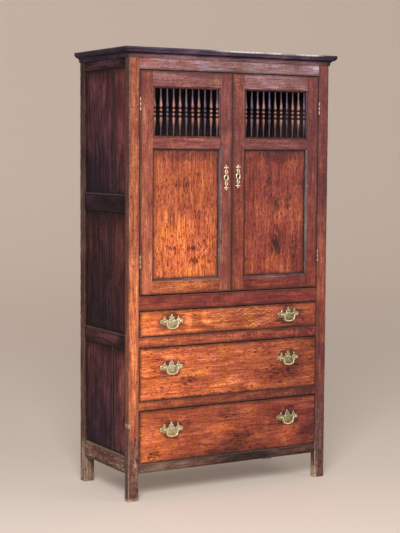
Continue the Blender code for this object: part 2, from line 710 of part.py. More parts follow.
def make_door(side):
    """Make one door: frame, panel, gallery, and the hinges it turns on."""
    bottom, top = front_levels()["doors"]
    name = f"{side_name(side)}_door"
    hinge = empty(f"{name}_hinge", (side * (OPENING_HALF - DOOR_HINGE_GAP / 2), FRONT - HINGE_STANDOFF, bottom))
    panel_low = bottom + DOOR_BOTTOM_RAIL_HEIGHT
    gallery_high = top - DOOR_TOP_RAIL_HEIGHT
    gallery_low = gallery_high - GALLERY_OPENING
    panel_high = gallery_low - DOOR_MIDDLE_RAIL_HEIGHT
    light = (DOOR_INNER + DOOR_STILE_WIDTH, DOOR_OUTER - DOOR_STILE_WIDTH)
    left, right = sorted((side * light[0], side * light[1]))
    rails = {
        "bottom_rail": (bottom, panel_low), "middle_rail": (panel_high, gallery_low), "top_rail": (gallery_high, top)
    }
    pieces, tenons = {}, {-1: [], 1: []}
    for key, (low, high) in rails.items():
        pieces[key], boxes = tenoned(
            f"{name}_{key}", (left + FIT, DOOR_FACE, low), (right - FIT, DOOR_REAR, high),
            0, DOOR_SHOULDER, DOOR_TENON, frame_oak(), hinge,
        )
        for tip_low, tip_high in boxes:
            tenons[-1 if tip_high[0] < tip_low[0] else 1].append((tip_low, tip_high))
    stiles = {"meeting_stile": (DOOR_INNER, light[0]), "hinge_stile": (light[1], DOOR_OUTER)}
    for key, (near, far) in stiles.items():
        low, high = mirrored(side, (near, DOOR_FACE, bottom), (far, DOOR_REAR, top))
        pieces[key] = finish(f"{name}_{key}", block(low, high), frame_oak(), hinge)
        way = side if key == "hinge_stile" else -side
        for number, box in enumerate(tenons[way]):
            cut(pieces[key], f"mortise_{number}", socket(*box))
    slips = make_gallery(side, hinge, (left, gallery_low), (right, gallery_high))
    cut(pieces["middle_rail"], "slip_groove", socket(*lengthened(slips[0])))
    cut(pieces["top_rail"], "slip_groove", socket(*lengthened(slips[1])))
    front, rear = DOOR_FACE + PANEL_RECESS, DOOR_FACE + PANEL_RECESS + PANEL_THICKNESS
    panel_box = (
        (left - PANEL_GROOVE, front, panel_low - PANEL_GROOVE), (right + PANEL_GROOVE, rear, panel_high + PANEL_GROOVE)
    )
    finish(f"{name}_panel", block(*panel_box), panel_oak(), hinge)
    for key in ("meeting_stile", "hinge_stile", "bottom_rail", "middle_rail"):
        cut(pieces[key], "panel_groove", socket(*panel_box))
        cut(pieces[key], "panel_mould", opening_mould((left, panel_low), (right, panel_high), PANEL_MOULD))
    for key in ("meeting_stile", "hinge_stile", "top_rail", "middle_rail"):
        cut(pieces[key], "gallery_mould", opening_mould((left, gallery_low), (right, gallery_high), GALLERY_MOULD))
    ends = (("lower", bottom + HINGE_END_DISTANCE), ("upper", top - HINGE_END_DISTANCE - HINGE_LENGTH))
    for word, foot in ends:
        make_hinge(side, f"{side_name(side)}_{word}_hinge", hinge.location, foot)


def lengthened(box):
    """Return a box drawn out along X past the ends of the rail it grooves."""
    (low_x, low_y, low_z), (high_x, high_y, high_z) = box
    return (low_x - OVERRUN, low_y, low_z), (high_x + OVERRUN, high_y, high_z)


def make_hinge(side, name, pin, foot):
    """Make a butt hinge's barrel with its pin and the leaf that lies on the post."""
    knuckle = HINGE_LENGTH / HINGE_KNUCKLES
    profile = [(0.0, 0.0)]
    for number in range(HINGE_KNUCKLES):
        start, stop = number * knuckle, (number + 1) * knuckle
        if number:
            profile.append((HINGE_BARREL_RADIUS - HINGE_KNUCKLE_GROOVE, start))
        profile.append((HINGE_BARREL_RADIUS, start + HINGE_KNUCKLE_GROOVE))
        profile.append((HINGE_BARREL_RADIUS, stop - HINGE_KNUCKLE_GROOVE))
    profile.append((0.0, HINGE_LENGTH))
    barrel = turned(profile, HINGE_SIDES)
    bmesh.ops.translate(barrel, verts=barrel.verts, vec=(pin.x, pin.y, foot))
    hinge = finish(name, barrel, iron())
    outer = OPENING_HALF - FIT
    leaf = block(*mirrored(
        side, (outer - HINGE_LEAF_THICKNESS, pin.y, foot + HINGE_KNUCKLE_GROOVE * 2),
        (outer, FRONT + HINGE_LEAF_WIDTH, foot + HINGE_LENGTH - HINGE_KNUCKLE_GROOVE * 2)
    ))
    fuse(hinge, "leaf", leaf)


def arc(start, middle, end, steps):
    """Return points on the circle through three points, without the first."""
    a, b, c = (Vector(p) for p in (start, middle, end))
    spread = 2 * (a.x * (b.y - c.y) + b.x * (c.y - a.y) + c.x * (a.y - b.y))
    squares = [p.length_squared for p in (a, b, c)]
    hub = Vector((
        (squares[0] * (b.y - c.y) + squares[1] * (c.y - a.y) + squares[2] * (a.y - b.y)) / spread,
        (squares[0] * (c.x - b.x) + squares[1] * (a.x - c.x) + squares[2] * (b.x - a.x)) / spread,
    ))
    angles = [math.atan2(p.y - hub.y, p.x - hub.x) for p in (a, b, c)]
    turn = math.remainder(angles[1] - angles[0], math.tau) + math.remainder(angles[2] - angles[1], math.tau)
    radius = (a - hub).length
    return [
        (hub.x + radius * math.cos(angles[0] + turn * i / steps), hub.y + radius * math.sin(angles[0] + turn * i / steps))
        for i in range(1, steps + 1)
    ]


def plate_mesh():
    """Return the mesh of a bat-wing plate with its two bored pillars, its back on Y = 0."""
    half = [PLATE_TOP]
    for middle, end in PLATE_ARCS:
        half += arc(half[-1], middle, end, PLATE_ARC_STEPS)
    outline = half + [(-x, z) for x, z in reversed(half[1:-1])]
    plate = finish("plate", prism(outline, 1, 0.0, -PLATE_THICKNESS), brass(), origin=(0, 0, 0))
    profile = [
        (0.0, PLATE_THICKNESS / 2), (PILLAR_FOOT_RADIUS, PLATE_THICKNESS / 2), (PILLAR_FOOT_RADIUS, PILLAR_HEIGHT * 0.2),
        (PILLAR_NECK_RADIUS, PILLAR_HEIGHT * 0.36), (PILLAR_HEAD_RADIUS, PIVOT_HEIGHT - PIVOT_BORE_RADIUS),
        (PILLAR_HEAD_RADIUS, PIVOT_HEIGHT + PIVOT_BORE_RADIUS), (0.0, PILLAR_HEIGHT),
    ]
    for number, way in enumerate((-1, 1)):
        spot = Vector((way * PILLAR_SPREAD / 2, 0.0, PILLAR_RISE))
        pillar = turned(profile, PILLAR_SIDES)
        bmesh.ops.rotate(pillar, verts=pillar.verts, matrix=Matrix.Rotation(math.pi / 2, 3, "X"))
        bmesh.ops.translate(pillar, verts=pillar.verts, vec=spot)
        fuse(plate, f"pillar_{number}", pillar)
        bore = bmesh.new()
        bmesh.ops.create_cone(
            bore, cap_ends=True, segments=PILLAR_SIDES, radius1=PIVOT_BORE_RADIUS, radius2=PIVOT_BORE_RADIUS,
            depth=4 * PILLAR_HEAD_RADIUS, matrix=Matrix.Rotation(math.pi / 2, 4, "Y"),
        )
        bmesh.ops.translate(bore, verts=bore.verts, vec=spot + Vector((0.0, -PIVOT_HEIGHT, 0.0)))
        cut(plate, f"bore_{number}", bore)
    return settled(plate)


def bail_curve():
    """Return the bail as a bevelled curve whose pins lie on X through its origin."""
    pin = PILLAR_SPREAD / 2 + PILLAR_HEAD_RADIUS * 0.8
    bend = PILLAR_SPREAD / 2 - PILLAR_HEAD_RADIUS * 1.25
    neck = bend - 2 * BAIL_RADIUS
    slim = BAIL_PIN_RADIUS / BAIL_RADIUS
    half = [
        ((pin, 0.0), (pin + BAIL_RADIUS, 0.0), (pin - BAIL_RADIUS, 0.0), slim),
        ((bend, 0.0), (bend + BAIL_RADIUS, 0.0), (bend - BAIL_RADIUS, 0.0), slim),
        ((neck, -0.16 * BAIL_DROP), (neck, -0.04 * BAIL_DROP), (neck, -0.30 * BAIL_DROP), 1.0),
        ((BAIL_ARM_RADIUS, -0.55 * BAIL_DROP), (BAIL_ARM_RADIUS, -0.42 * BAIL_DROP),
         (BAIL_ARM_RADIUS, -0.80 * BAIL_DROP), 1.0),
    ]
    foot = ((0.0, -BAIL_DROP), (0.55 * BAIL_ARM_RADIUS, -BAIL_DROP), (-0.55 * BAIL_ARM_RADIUS, -BAIL_DROP), 1.0)
    other = [
        ((-at[0], at[1]), (-after[0], after[1]), (-before[0], before[1]), size)
        for at, before, after, size in reversed(half)
    ]
    curve = bpy.data.curves.new("bail", "CURVE")
    curve.dimensions = "3D"
    curve.bevel_depth = BAIL_RADIUS
    curve.bevel_resolution = 1
    curve.resolution_u = BAIL_STEPS
    curve.render_resolution_u = BAIL_STEPS
    curve.use_fill_caps = True
    spline = curve.splines.new("BEZIER")
    points = [*half, foot, *other]
    spline.bezier_points.add(len(points) - 1)
    for point, (at, before, after, size) in zip(spline.bezier_points, points):
        point.handle_left_type = point.handle_right_type = "FREE"
        point.co = (at[0], 0.0, at[1])
        point.handle_left = (before[0], 0.0, before[1])
        point.handle_right = (after[0], 0.0, after[1])
        point.radius = size
    curve.materials.append(brass())
    return curve


def make_drawer(name, opening, rise, plate, bail):
    """Make one drawer with its front, box and two handles."""
    bottom, top = front_levels()[opening]
    slide = empty(f"{name}_slide", (0.0, FRONT, bottom))
    low, high = bottom + DRAWER_BOTTOM_GAP, top - DRAWER_TOP_GAP
    mesh = block((-DRAWER_HALF, DRAWER_FACE, low), (DRAWER_HALF, DRAWER_FRONT_REAR, high))
    rim = [e for e in mesh.edges if all(abs(v.co.y - DRAWER_FACE) < FIT for v in e.verts)]
    bmesh.ops.bevel(mesh, geom=rim, offset=DRAWER_FRONT_EDGE, segments=3, profile=0.5, affect="EDGES", material=-1)
    finish(f"{name}_front", mesh, panel_oak(), slide)
    box_low = bottom + DRAWER_BOX_RUN_GAP
    box_high = top - DRAWER_BOX_TOP_GAP
    near, far = DRAWER_FRONT_REAR + FIT, BACK_BOARD_FACE - DRAWER_BACK_GAP
    box = finish(f"{name}_box", block((-DRAWER_HALF, near, box_low), (DRAWER_HALF, far, box_high)), inner_oak(), slide)
    inner = DRAWER_HALF - DRAWER_WALL
    cut(box, "room", block(
        (-inner, near - OVERRUN, box_low + DRAWER_BOTTOM), (inner, far - DRAWER_WALL, box_high + OVERRUN)
    ))
    middle = (low + high) / 2 + rise
    for side in (-1, 1):
        word = f"{name}_{side_name(side)}"
        spot = Vector((side * (DRAWER_HALF - HANDLE_END_DISTANCE), DRAWER_FACE - FIT, middle))
        piece = bpy.data.objects.new(f"{word}_plate", plate)
        piece.parent, piece.location = slide, spot - slide.location
        bpy.context.collection.objects.link(piece)
        swing = bpy.data.objects.new(f"{word}_bail", bail)
        pivot = Vector((spot.x, PIVOT_Y, middle + PILLAR_RISE))
        swing.parent, swing.location = slide, pivot - slide.location
        bpy.context.collection.objects.link(swing)


def smooth_round_pieces():
    """Shade turned pieces smooth."""
    for thing in bpy.data.objects:
        if thing.type == "MESH" and not thing.hide_render and ("gallery" in thing.name or "_hinge" in thing.name):
            for face in thing.data.polygons:
                face.use_smooth = True


def main():
    """Build the whole cupboard."""
    clear_scene()
    make_posts(make_rails())
    make_side_boards()
    make_flat_boards()
    make_cornice()
    for side in (-1, 1):
        make_door(side)
    plate, bail = plate_mesh(), bail_curve()
    for name, opening, rise in DRAWERS:
        make_drawer(name, opening, rise, plate, bail)
    smooth_round_pieces()


main()
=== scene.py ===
"""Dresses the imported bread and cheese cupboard: aged waxed oak, brass handles, studio floor and light."""

import logging
import math
from abc import ABC, abstractmethod
from collections.abc import Callable, Iterable
from dataclasses import dataclass, field, replace
from enum import Enum
from functools import partial
from typing import ClassVar

import bmesh
import bpy
from mathutils import Matrix, Vector, noise


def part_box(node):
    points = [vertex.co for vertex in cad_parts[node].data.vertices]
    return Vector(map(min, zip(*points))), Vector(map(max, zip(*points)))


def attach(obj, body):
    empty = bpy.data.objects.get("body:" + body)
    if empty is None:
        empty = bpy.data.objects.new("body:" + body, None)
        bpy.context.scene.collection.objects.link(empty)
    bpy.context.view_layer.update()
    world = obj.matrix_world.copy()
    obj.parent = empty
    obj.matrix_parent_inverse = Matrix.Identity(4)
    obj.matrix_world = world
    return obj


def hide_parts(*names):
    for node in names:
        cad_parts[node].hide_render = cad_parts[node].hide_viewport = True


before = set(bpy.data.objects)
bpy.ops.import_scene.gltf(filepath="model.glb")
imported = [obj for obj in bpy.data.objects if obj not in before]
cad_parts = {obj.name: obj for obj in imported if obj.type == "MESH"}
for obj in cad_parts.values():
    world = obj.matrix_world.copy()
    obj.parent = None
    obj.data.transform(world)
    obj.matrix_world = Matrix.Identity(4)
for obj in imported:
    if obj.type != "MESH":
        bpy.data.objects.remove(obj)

LOG = logging.getLogger("cupboard")
Mesh = bmesh.types.BMesh
Socket = bpy.types.NodeSocket
Point = tuple[float, float]
Field = Callable[[Vector], float]
# Fields written on each point; the last three are dust with painted sheen, grime with painted shade, and wear
# with painted highlight
FIELDS = ("tone", "warm", "rays", "ripple", "pits", "haze", "grime", "wear")
# Way out from the middle of the case on each side
OUT = {"left": -1.0, "right": 1.0}
ACROSS, BACK, UP = Vector((1, 0, 0)), Vector((0, 1, 0)), Vector((0, 0, 1))
# Range that holds most of a noise, and the whole range
MOST, WHOLE = (0.3, 0.7), (0.0, 1.0)
# Gap left between boards that meet, and the distance under which points are one
FIT, SAME = 0.0003, 1e-6
# Seed of the noise that makes boards and mouldings uneven
SWAY_SEED = 7


class Grain(Enum):
    """Axis that a board's fibres run along."""

    X = 0
    Y = 1
    Z = 2


def linear(colour: str) -> tuple[float, float, float, float]:
    """Turn an sRGB hex value into linear RGBA.

    Args:
        colour: Six hex digits after a hash sign.

    Returns:
        Linear red, green, blue and an alpha of one.
    """
    parts = [int(colour[i : i + 2], 16) / 255 for i in (1, 3, 5)]
    red, green, blue = (p / 12.92 if p <= 0.04045 else ((p + 0.055) / 1.055) ** 2.4 for p in parts)
    return red, green, blue, 1.0


def add_node(tree: bpy.types.NodeTree, kind: str, links: dict, **settings: object) -> bpy.types.Node:
    """Add a node with its settings, values and links.

    Args:
        tree: Node tree that takes the node.
        kind: Blender's name of the node's type.
        links: Input name or number to a value, or to the output socket that feeds it.
        settings: Properties of the node.

    Returns:
        The new node.
    """
    made = tree.nodes.new(kind)
    for key, value in settings.items():
        setattr(made, key, value)
    for key, value in links.items():
        if isinstance(value, Socket):
            tree.links.new(value, made.inputs[key])
        else:
            made.inputs[key].default_value = value
    return made


def smooth(value: float) -> float:
    """Return a value held to 0..1 and eased at both ends."""
    held = min(max(value, 0.0), 1.0)
    return held * held * (3 - 2 * held)


@dataclass(frozen=True)
class Nodes:
    """Short ways to add nodes to one tree."""

    tree: bpy.types.NodeTree

    def math(self, operation: str, *values: float | Socket, clamp: bool = False) -> Socket:
        """Return the result of a sum on the values."""
        links = dict(enumerate(values))
        return add_node(self.tree, "ShaderNodeMath", links, operation=operation, use_clamp=clamp).outputs[0]

    def times(self, first: Socket, second: Socket) -> Socket:
        """Return the product of two values."""
        return self.math("MULTIPLY", first, second)

    def vector(self, operation: str, links: dict) -> Socket:
        """Return the result of a sum on vectors."""
        return add_node(self.tree, "ShaderNodeVectorMath", links, operation=operation).outputs[0]

    def remap(self, value: Socket, span: Iterable[float], result: Iterable[float]) -> Socket:
        """Return a value moved from one range to another and held at both ends."""
        ends = dict(zip(("From Min", "From Max", "To Min", "To Max"), (*span, *result)))
        return add_node(self.tree, "ShaderNodeMapRange", {"Value": value, **ends}).outputs[0]

    def blend(self, share: Socket, under: object, over: object) -> Socket:
        """Return one colour mixed over another by a share held to 0..1."""
        links = {0: share, 6: under, 7: over}
        return add_node(self.tree, "ShaderNodeMix", links, data_type="RGBA", clamp_factor=True).outputs[2]

    def noise(self, **links: object) -> Socket:
        """Return a noise with the inputs given by name."""
        return add_node(self.tree, "ShaderNodeTexNoise", links).outputs["Fac"]

    def bump(self, **links: object) -> Socket:
        """Return the normals of a relief with the inputs given by name."""
        return add_node(self.tree, "ShaderNodeBump", links).outputs[0]

    def read(self, name: str, output: str = "Fac") -> Socket:
        """Return one of the piece's own fields."""
        return add_node(self.tree, "ShaderNodeAttribute", {}, attribute_name=name).outputs[output]

    def place(self) -> Socket:
        """Return the place in the object, in metres."""
        return add_node(self.tree, "ShaderNodeTexCoord", {}).outputs["Object"]

    def part(self, vector: Socket, number: int) -> Socket:
        """Return one part of a vector."""
        return add_node(self.tree, "ShaderNodeSeparateXYZ", {0: vector}).outputs[number]


@dataclass(frozen=True)
class Finish(ABC):
    """A named material whose colour, roughness and relief come from nodes."""

    name: str

    def material(self) -> bpy.types.Material:
        """Build the material, unless it is there already.

        Returns:
            The material of this name.
        """
        found = bpy.data.materials.get(self.name)
        if found:
            return found
        made = bpy.data.materials.new(self.name)
        made.use_nodes = True
        shader = made.node_tree.nodes["Principled BSDF"]
        for key, socket in self.draw(Nodes(made.node_tree)).items():
            made.node_tree.links.new(socket, shader.inputs[key])
        for key, value in self.constants().items():
            shader.inputs[key].default_value = value
        return made

    @abstractmethod
    def draw(self, nodes: Nodes) -> dict[str, Socket]:
        """Return what feeds the shader's inputs."""

    @abstractmethod
    def constants(self) -> dict[str, float]:
        """Return the shader's values that are the same all over."""


@dataclass(frozen=True)
class Pattern:
    """A noise stretched along the grain: cycles per metre along and across it."""

    along: float
    across: float
    detail: float = 2.0
    roughness: float = 0.6
    distortion: float = 0.0

    def draw(self, nodes: Nodes, at: Socket) -> Socket:
        """Draw the noise.

        Args:
            nodes: Adds to the material's tree.
            at: Place in the board, along the grain first.

        Returns:
            The noise.
        """
        stretched = nodes.vector("MULTIPLY", {0: at, 1: (self.along, self.across, self.across)})
        return nodes.noise(
            Vector=stretched, Scale=1.0, Detail=self.detail, Roughness=self.roughness,
            Distortion=self.distortion,
        )


@dataclass(frozen=True)
class OakFinish(Finish):
    """Old oak under wax: brown red to orange, with darker bands, pores, pale rays, dust with painted sheen,
    grime with painted shade, and worn edges with painted highlight.
    """

    russet: str
    ember: str
    ray: str
    haze: str
    soot: str
    bare: str
    figure: float = 0.28
    pores: float = 0.72
    patches: float = 0.16
    drift: float = 0.18
    streak: float = 0.05
    roughness: float = 0.45
    specular: float = 0.4
    coat: float = 0.06
    # For red, green and blue: how steeply it follows the figure, and its range from golden to mauve patches
    tints: tuple[tuple[float, float, float], ...] = ((1.0, 1.0, 1.0), (1.5, 1.02, 0.98), (1.8, 0.92, 1.06))

    # Bands 15 mm wide, fibres 5 mm, pores 5 mm by 22 mm and ray flecks 25 mm across the grain,
    # coarser than real so that they show in the render
    patterns: ClassVar[dict[str, Pattern]] = {
        "band": Pattern(6.0, 66.0, 3.0, 0.6, 0.6),
        "fibre": Pattern(13.0, 210.0, 2.0),
        "pore": Pattern(46.0, 200.0, 2.0, 0.55, 0.2),
        "patch": Pattern(7.0, 12.0, 3.0, 0.6, 0.4),
        "ray": Pattern(80.0, 40.0, 1.5, 0.5, 0.9),
        "crumb": Pattern(110.0, 110.0, 3.0, 0.65),
        "bend": Pattern(30.0, 14.0, 1.0),
    }
    # Wavy rays: lines 17 mm apart across the grain, which swing to and fro about every 33 mm along it
    line_rate: ClassVar[float] = 370.0
    swing: ClassVar[float] = 26.0
    # How much fibres and crumbs lighten and darken, and how far a pitted place opens its pores
    fibre: ClassVar[float] = 0.34
    crumb: ClassVar[float] = 0.22
    pit_gain: ClassVar[float] = 0.12
    # Parts of a noise that show as rays, pores, wavy lines, breaks in the lines, tints, and the patches of
    # grime, shade and wear
    ray_cut: ClassVar[Point] = (0.50, 0.70)
    pore_cut: ClassVar[Point] = (0.57, 0.65)
    line_cut: ClassVar[Point] = (0.1, 0.85)
    break_cut: ClassVar[Point] = (0.32, 0.48)
    tint_cut: ClassVar[Point] = (0.35, 0.65)
    dirt_cut: ClassVar[Point] = (0.34, 0.60)
    # How unevenly dust with painted sheen lies, and grime with painted shade and wear with painted highlight
    haze_range: ClassVar[Point] = (0.6, 1.3)
    dirt_range: ClassVar[Point] = (0.35, 1.2)
    gloss_range: ClassVar[Point] = (-0.08, 0.12)

    def draw(self, nodes: Nodes) -> dict[str, Socket]:
        """Draw colour, roughness and relief.

        Args:
            nodes: Adds to the material's tree.

        Returns:
            The sockets for the shader's inputs.
        """
        at = nodes.read("grain", "Vector")
        drawn = {key: pattern.draw(nodes, at) for key, pattern in self.patterns.items()}
        ends = [self.roughness + change for change in self.gloss_range]
        return {
            "Base Color": self.colour(nodes, at, drawn),
            "Roughness": nodes.remap(drawn["crumb"], MOST, ends),
            "Normal": nodes.bump(Height=drawn["pore"], Strength=0.35, Distance=0.0008),
        }

    def constants(self) -> dict[str, float]:
        """Return the gloss of the wax."""
        return {"Specular IOR Level": self.specular, "Coat Weight": self.coat, "Coat Roughness": 0.25}

    def colour(self, nodes: Nodes, at: Socket, drawn: dict[str, Socket]) -> Socket:
        """Mix the colour: red brown to orange, then dust with painted sheen, rays, dark bands and pores, grime
        with painted shade, and wear with painted highlight.

        Args:
            nodes: Adds to the material's tree.
            at: Place in the board, along the grain first.
            drawn: The patterns by name.

        Returns:
            The finished colour.
        """
        read = {key: nodes.read(key) for key in FIELDS}
        drift = nodes.remap(drawn["patch"], MOST, (-self.drift, self.drift))
        streak = nodes.remap(drawn["band"], MOST, (-self.streak, self.streak))
        warmth = nodes.math("ADD", read["warm"], nodes.math("ADD", drift, streak), clamp=True)
        wood = nodes.blend(warmth, linear(self.russet), linear(self.ember))
        # Dust with a painted sheen first, then the straight and the wavy rays
        for key, shape, shown in (
            ("haze", nodes.remap(drawn["patch"], MOST, self.haze_range), self.haze),
            ("rays", nodes.remap(drawn["ray"], self.ray_cut, WHOLE), self.ray),
            ("ripple", self.ripple(nodes, at, drawn), self.ray),
        ):
            wood = nodes.blend(nodes.times(read[key], shape), wood, linear(shown))
        # Where the wood is pitted, more of the pores open
        opened = nodes.math("MULTIPLY_ADD", read["pits"], self.pit_gain, drawn["pore"])
        shade = nodes.remap(opened, self.pore_cut, (1.0, 1.0 - self.pores))
        depths = {"band": self.figure, "patch": self.patches, "fibre": self.fibre, "crumb": self.crumb}
        for key, depth in depths.items():
            shade = nodes.times(shade, nodes.remap(drawn[key], MOST, (1.0 - depth, 1.0 + depth)))
        # What the figure darkens gets redder, and what it lightens more golden
        tints = {}
        for channel, (power, *ends) in enumerate(self.tints):
            bent = nodes.math("POWER", shade, power)
            tints[channel] = nodes.times(bent, nodes.remap(drawn["bend"], self.tint_cut, ends))
        tint = add_node(nodes.tree, "ShaderNodeCombineXYZ", tints).outputs[0]
        wood = nodes.vector("SCALE", {0: nodes.vector("MULTIPLY", {0: wood, 1: tint}), "Scale": read["tone"]})
        # Grime with painted shade in corners and gaps, and wear with painted highlight on edges and chamfers,
        # both broken up by patches about 9 mm wide
        crumb = nodes.remap(drawn["crumb"], self.dirt_cut, self.dirt_range)
        for key, shown in (("grime", self.soot), ("wear", self.bare)):
            wood = nodes.blend(nodes.times(read[key], crumb), wood, linear(shown))
        return wood

    def ripple(self, nodes: Nodes, at: Socket, drawn: dict[str, Socket]) -> Socket:
        """Draw the wavy ray lines of quarter-sawn oak, broken up along their length.

        Args:
            nodes: Adds to the material's tree.
            at: Place in the board, along the grain first.
            drawn: The patterns by name.

        Returns:
            The lines, from 0 to 1.
        """
        bent = nodes.math("MULTIPLY", drawn["bend"], self.swing)
        crest = nodes.math("SINE", nodes.math("MULTIPLY_ADD", nodes.part(at, 2), self.line_rate, bent))
        broken = nodes.remap(drawn["patch"], self.break_cut, WHOLE)
        return nodes.times(nodes.remap(crest, self.line_cut, WHOLE), broken)


@dataclass(frozen=True)
class MetalFinish(Finish):
    """Cast and filed metal gone dull: a clear colour where it is rubbed and where light is painted on, brown
    film in patches.
    """

    clean: str
    film: str
    roughness: float
    film_share: float = 0.5

    # Film in patches about 6 mm wide; rubbing and painted light take it off
    film_rate: ClassVar[float] = 170.0
    film_cut: ClassVar[Point] = (0.32, 0.62)
    rubbing: ClassVar[float] = -0.30
    gloss_range: ClassVar[Point] = (-0.08, 0.15)

    def draw(self, nodes: Nodes) -> dict[str, Socket]:
        """Draw colour, roughness and relief.

        Args:
            nodes: Adds to the material's tree.

        Returns:
            The sockets for the shader's inputs.
        """
        film = nodes.noise(Vector=nodes.place(), Scale=self.film_rate, Detail=4.0, Roughness=0.6)
        left = nodes.math("MULTIPLY_ADD", nodes.read("rub"), self.rubbing, film)
        share = nodes.remap(left, self.film_cut, (0.0, self.film_share))
        ends = [self.roughness + change for change in self.gloss_range]
        return {
            "Base Color": nodes.blend(share, linear(self.clean), linear(self.film)),
            "Roughness": nodes.remap(film, MOST, ends),
            "Normal": nodes.bump(Height=film, Strength=0.3, Distance=0.0004),
        }

    def constants(self) -> dict[str, float]:
        """Return what makes it a metal."""
        return {"Metallic": 1.0}


# Each oak from its darker to its warmer colour, then rays, dust with painted sheen, grime with painted shade,
# and bare wood with painted highlight
FRONT_OAK = OakFinish("waxed_front_oak", "#872b2e", "#e47640", "#ef9c58", "#a5838a", "#170c10", "#c99a82")
PANEL_OAK = replace(
    FRONT_OAK, name="waxed_panel_oak", tints=((1.0, 1.02, 0.98), (1.6, 1.06, 0.92), (1.9, 0.76, 1.20))
)
POST_OAK = OakFinish(
    "waxed_post_oak", "#85373a", "#e27c4e", "#f0a868", "#8a6a66", "#150c12", "#d0b298", figure=0.32
)
LEG_OAK = OakFinish(
    "scuffed_leg_oak", "#583a3a", "#8c604e", "#8f6a58", "#968677", "#120b10", "#c4ac8e", figure=0.40,
    pores=0.6, patches=0.24, drift=0.3, streak=0.3, roughness=0.55, specular=0.2, coat=0.0,
)
MOULD_OAK = OakFinish(
    "dusty_mould_oak", "#54302f", "#76443a", "#8a5f50", "#82706f", "#120a0e", "#9a8580", pores=0.3
)
SIDE_OAK = OakFinish(
    "dark_side_oak", "#352337", "#703a34", "#7a4a4c", "#8a7066", "#0a060e", "#a88470", figure=0.45,
    pores=0.45, patches=0.30, drift=0.22, streak=0.22, roughness=0.6, specular=0.15, coat=0.0,
)
CORNICE_OAK = OakFinish(
    "black_cornice_oak", "#2c2642", "#7c5350", "#50403f", "#7a6c78", "#070509", "#eae2dc", figure=0.2,
    pores=0.2, roughness=0.5, specular=0.12, coat=0.0,
)
SPINDLE_OAK = OakFinish(
    "turned_spindle_oak", "#54486a", "#c07c68", "#d0987c", "#6a5555", "#08060f", "#c89a80", figure=0.15,
    pores=0.2, roughness=0.35, specular=0.4, coat=0.1,
)
INNER_OAK = OakFinish(
    "bare_inner_oak", "#4e3830", "#745440", "#7c644e", "#6f6052", "#120d14", "#8a745a", pores=0.4,
    roughness=0.62, specular=0.3, coat=0.0,
)
BRASS = MetalFinish("aged_brass", "#f6e6be", "#6e6a44", 0.33, 0.85)
IRON = MetalFinish("worn_hinge_iron", "#b59c8e", "#5a3c36", 0.45, 0.7)


@dataclass
class Paint:
    """What a piece of oak tells its finish: a number, or a function of the place, for each field."""

    grain: Grain
    seed: int
    tone: float | Field
    warm: float | Field
    rays: float | Field = 0.0
    ripple: float | Field = 0.0
    pits: float | Field = 0.0
    haze: float | Field = 0.0
    grime: float | Field = 0.0
    wear: float | Field = 0.0

    def apply(self, mesh: Mesh) -> None:
        """Write the fields to the mesh's points.

        Args:
            mesh: Mesh in its final place.
        """
        layers = mesh.verts.layers
        grain = layers.float_vector.new("grain")
        values = {key: layers.float.new(key) for key in FIELDS}
        order = [self.grain.value, *(i for i in range(3) if i != self.grain.value)]
        # The seed moves the board to another place in the noises
        shift = Vector((self.seed * 3.71 % 17, self.seed * 1.93 % 11, self.seed * 5.37 % 13))
        fields = {key: getattr(self, key) for key in FIELDS}
        for vert in mesh.verts:
            vert[grain] = Vector(vert.co[i] for i in order) + shift
            for key, layer in values.items():
                shown = fields[key]
                vert[layer] = shown(vert.co) if callable(shown) else shown


def hand_over(
    name: str, mesh: Mesh, finish: Finish, body: str, replaces: Iterable[str] = ()
) -> None:
    """Turn a mesh into a shown piece that rides on a body.

    Args:
        name: Name of the piece.
        mesh: Mesh in its place; it is freed.
        finish: Finish of the piece.
        body: CAD body that carries it.
        replaces: CAD nodes that it stands for.
    """
    made = add_object(name, mesh, finish.material())
    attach(made, body)
    if replaces:
        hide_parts(*replaces)
    LOG.info("%s rides on %s with %d faces", name, body, len(made.data.polygons))


def add_object(name: str, mesh: Mesh, material: bpy.types.Material) -> bpy.types.Object:
    """Turn a mesh into an object of the scene.

    Args:
        name: Name of the object.
        mesh: Mesh in its place; it is freed.
        material: Its only material.

    Returns:
        The new object.
    """
    bmesh.ops.recalc_face_normals(mesh, faces=mesh.faces)
    data = bpy.data.meshes.new(name)
    for face in mesh.faces:
        face.smooth = True
    mesh.to_mesh(data)
    mesh.free()
    data.materials.append(material)
    made = bpy.data.objects.new(name, data)
    bpy.context.scene.collection.objects.link(made)
    return made


def rim(node: str, axis: str, way: float) -> float:
    """Return where a CAD node ends along x, y or z: at its high end for a way above zero."""
    return getattr(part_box(node)[1 if way > 0 else 0], axis)


def corners(x: Point, y: Point, z: Point) -> tuple[Vector, Vector]:
    """Return the low and the high corner of a box, with the limits in either order."""
    low, high = zip(*(sorted(ends) for ends in (x, y, z)))
    return Vector(low), Vector(high)


def cuboid(low: Vector, high: Vector) -> Mesh:
    """Make a box.

    Args:
        low: Its low corner.
        high: Its high corner.

    Returns:
        The new mesh.
    """
    mesh = bmesh.new()
    bmesh.ops.create_cube(mesh, size=1.0)
    bmesh.ops.scale(mesh, verts=mesh.verts, vec=high - low)
    bmesh.ops.translate(mesh, verts=mesh.verts, vec=(low + high) / 2)
    return mesh


def bevel(mesh: Mesh, edges: list[bmesh.types.BMEdge], offset: float, segments: int) -> None:
    """Take edges off, flat with one segment and rounded with more.

    Args:
        mesh: Mesh that holds the edges.
        edges: Edges to take off.
        offset: How far from the edge the cut starts.
        segments: Number of faces along the cut.
    """
    bmesh.ops.bevel(
        mesh, geom=edges, offset=offset, segments=segments, profile=0.5, affect="EDGES", material=-1
    )


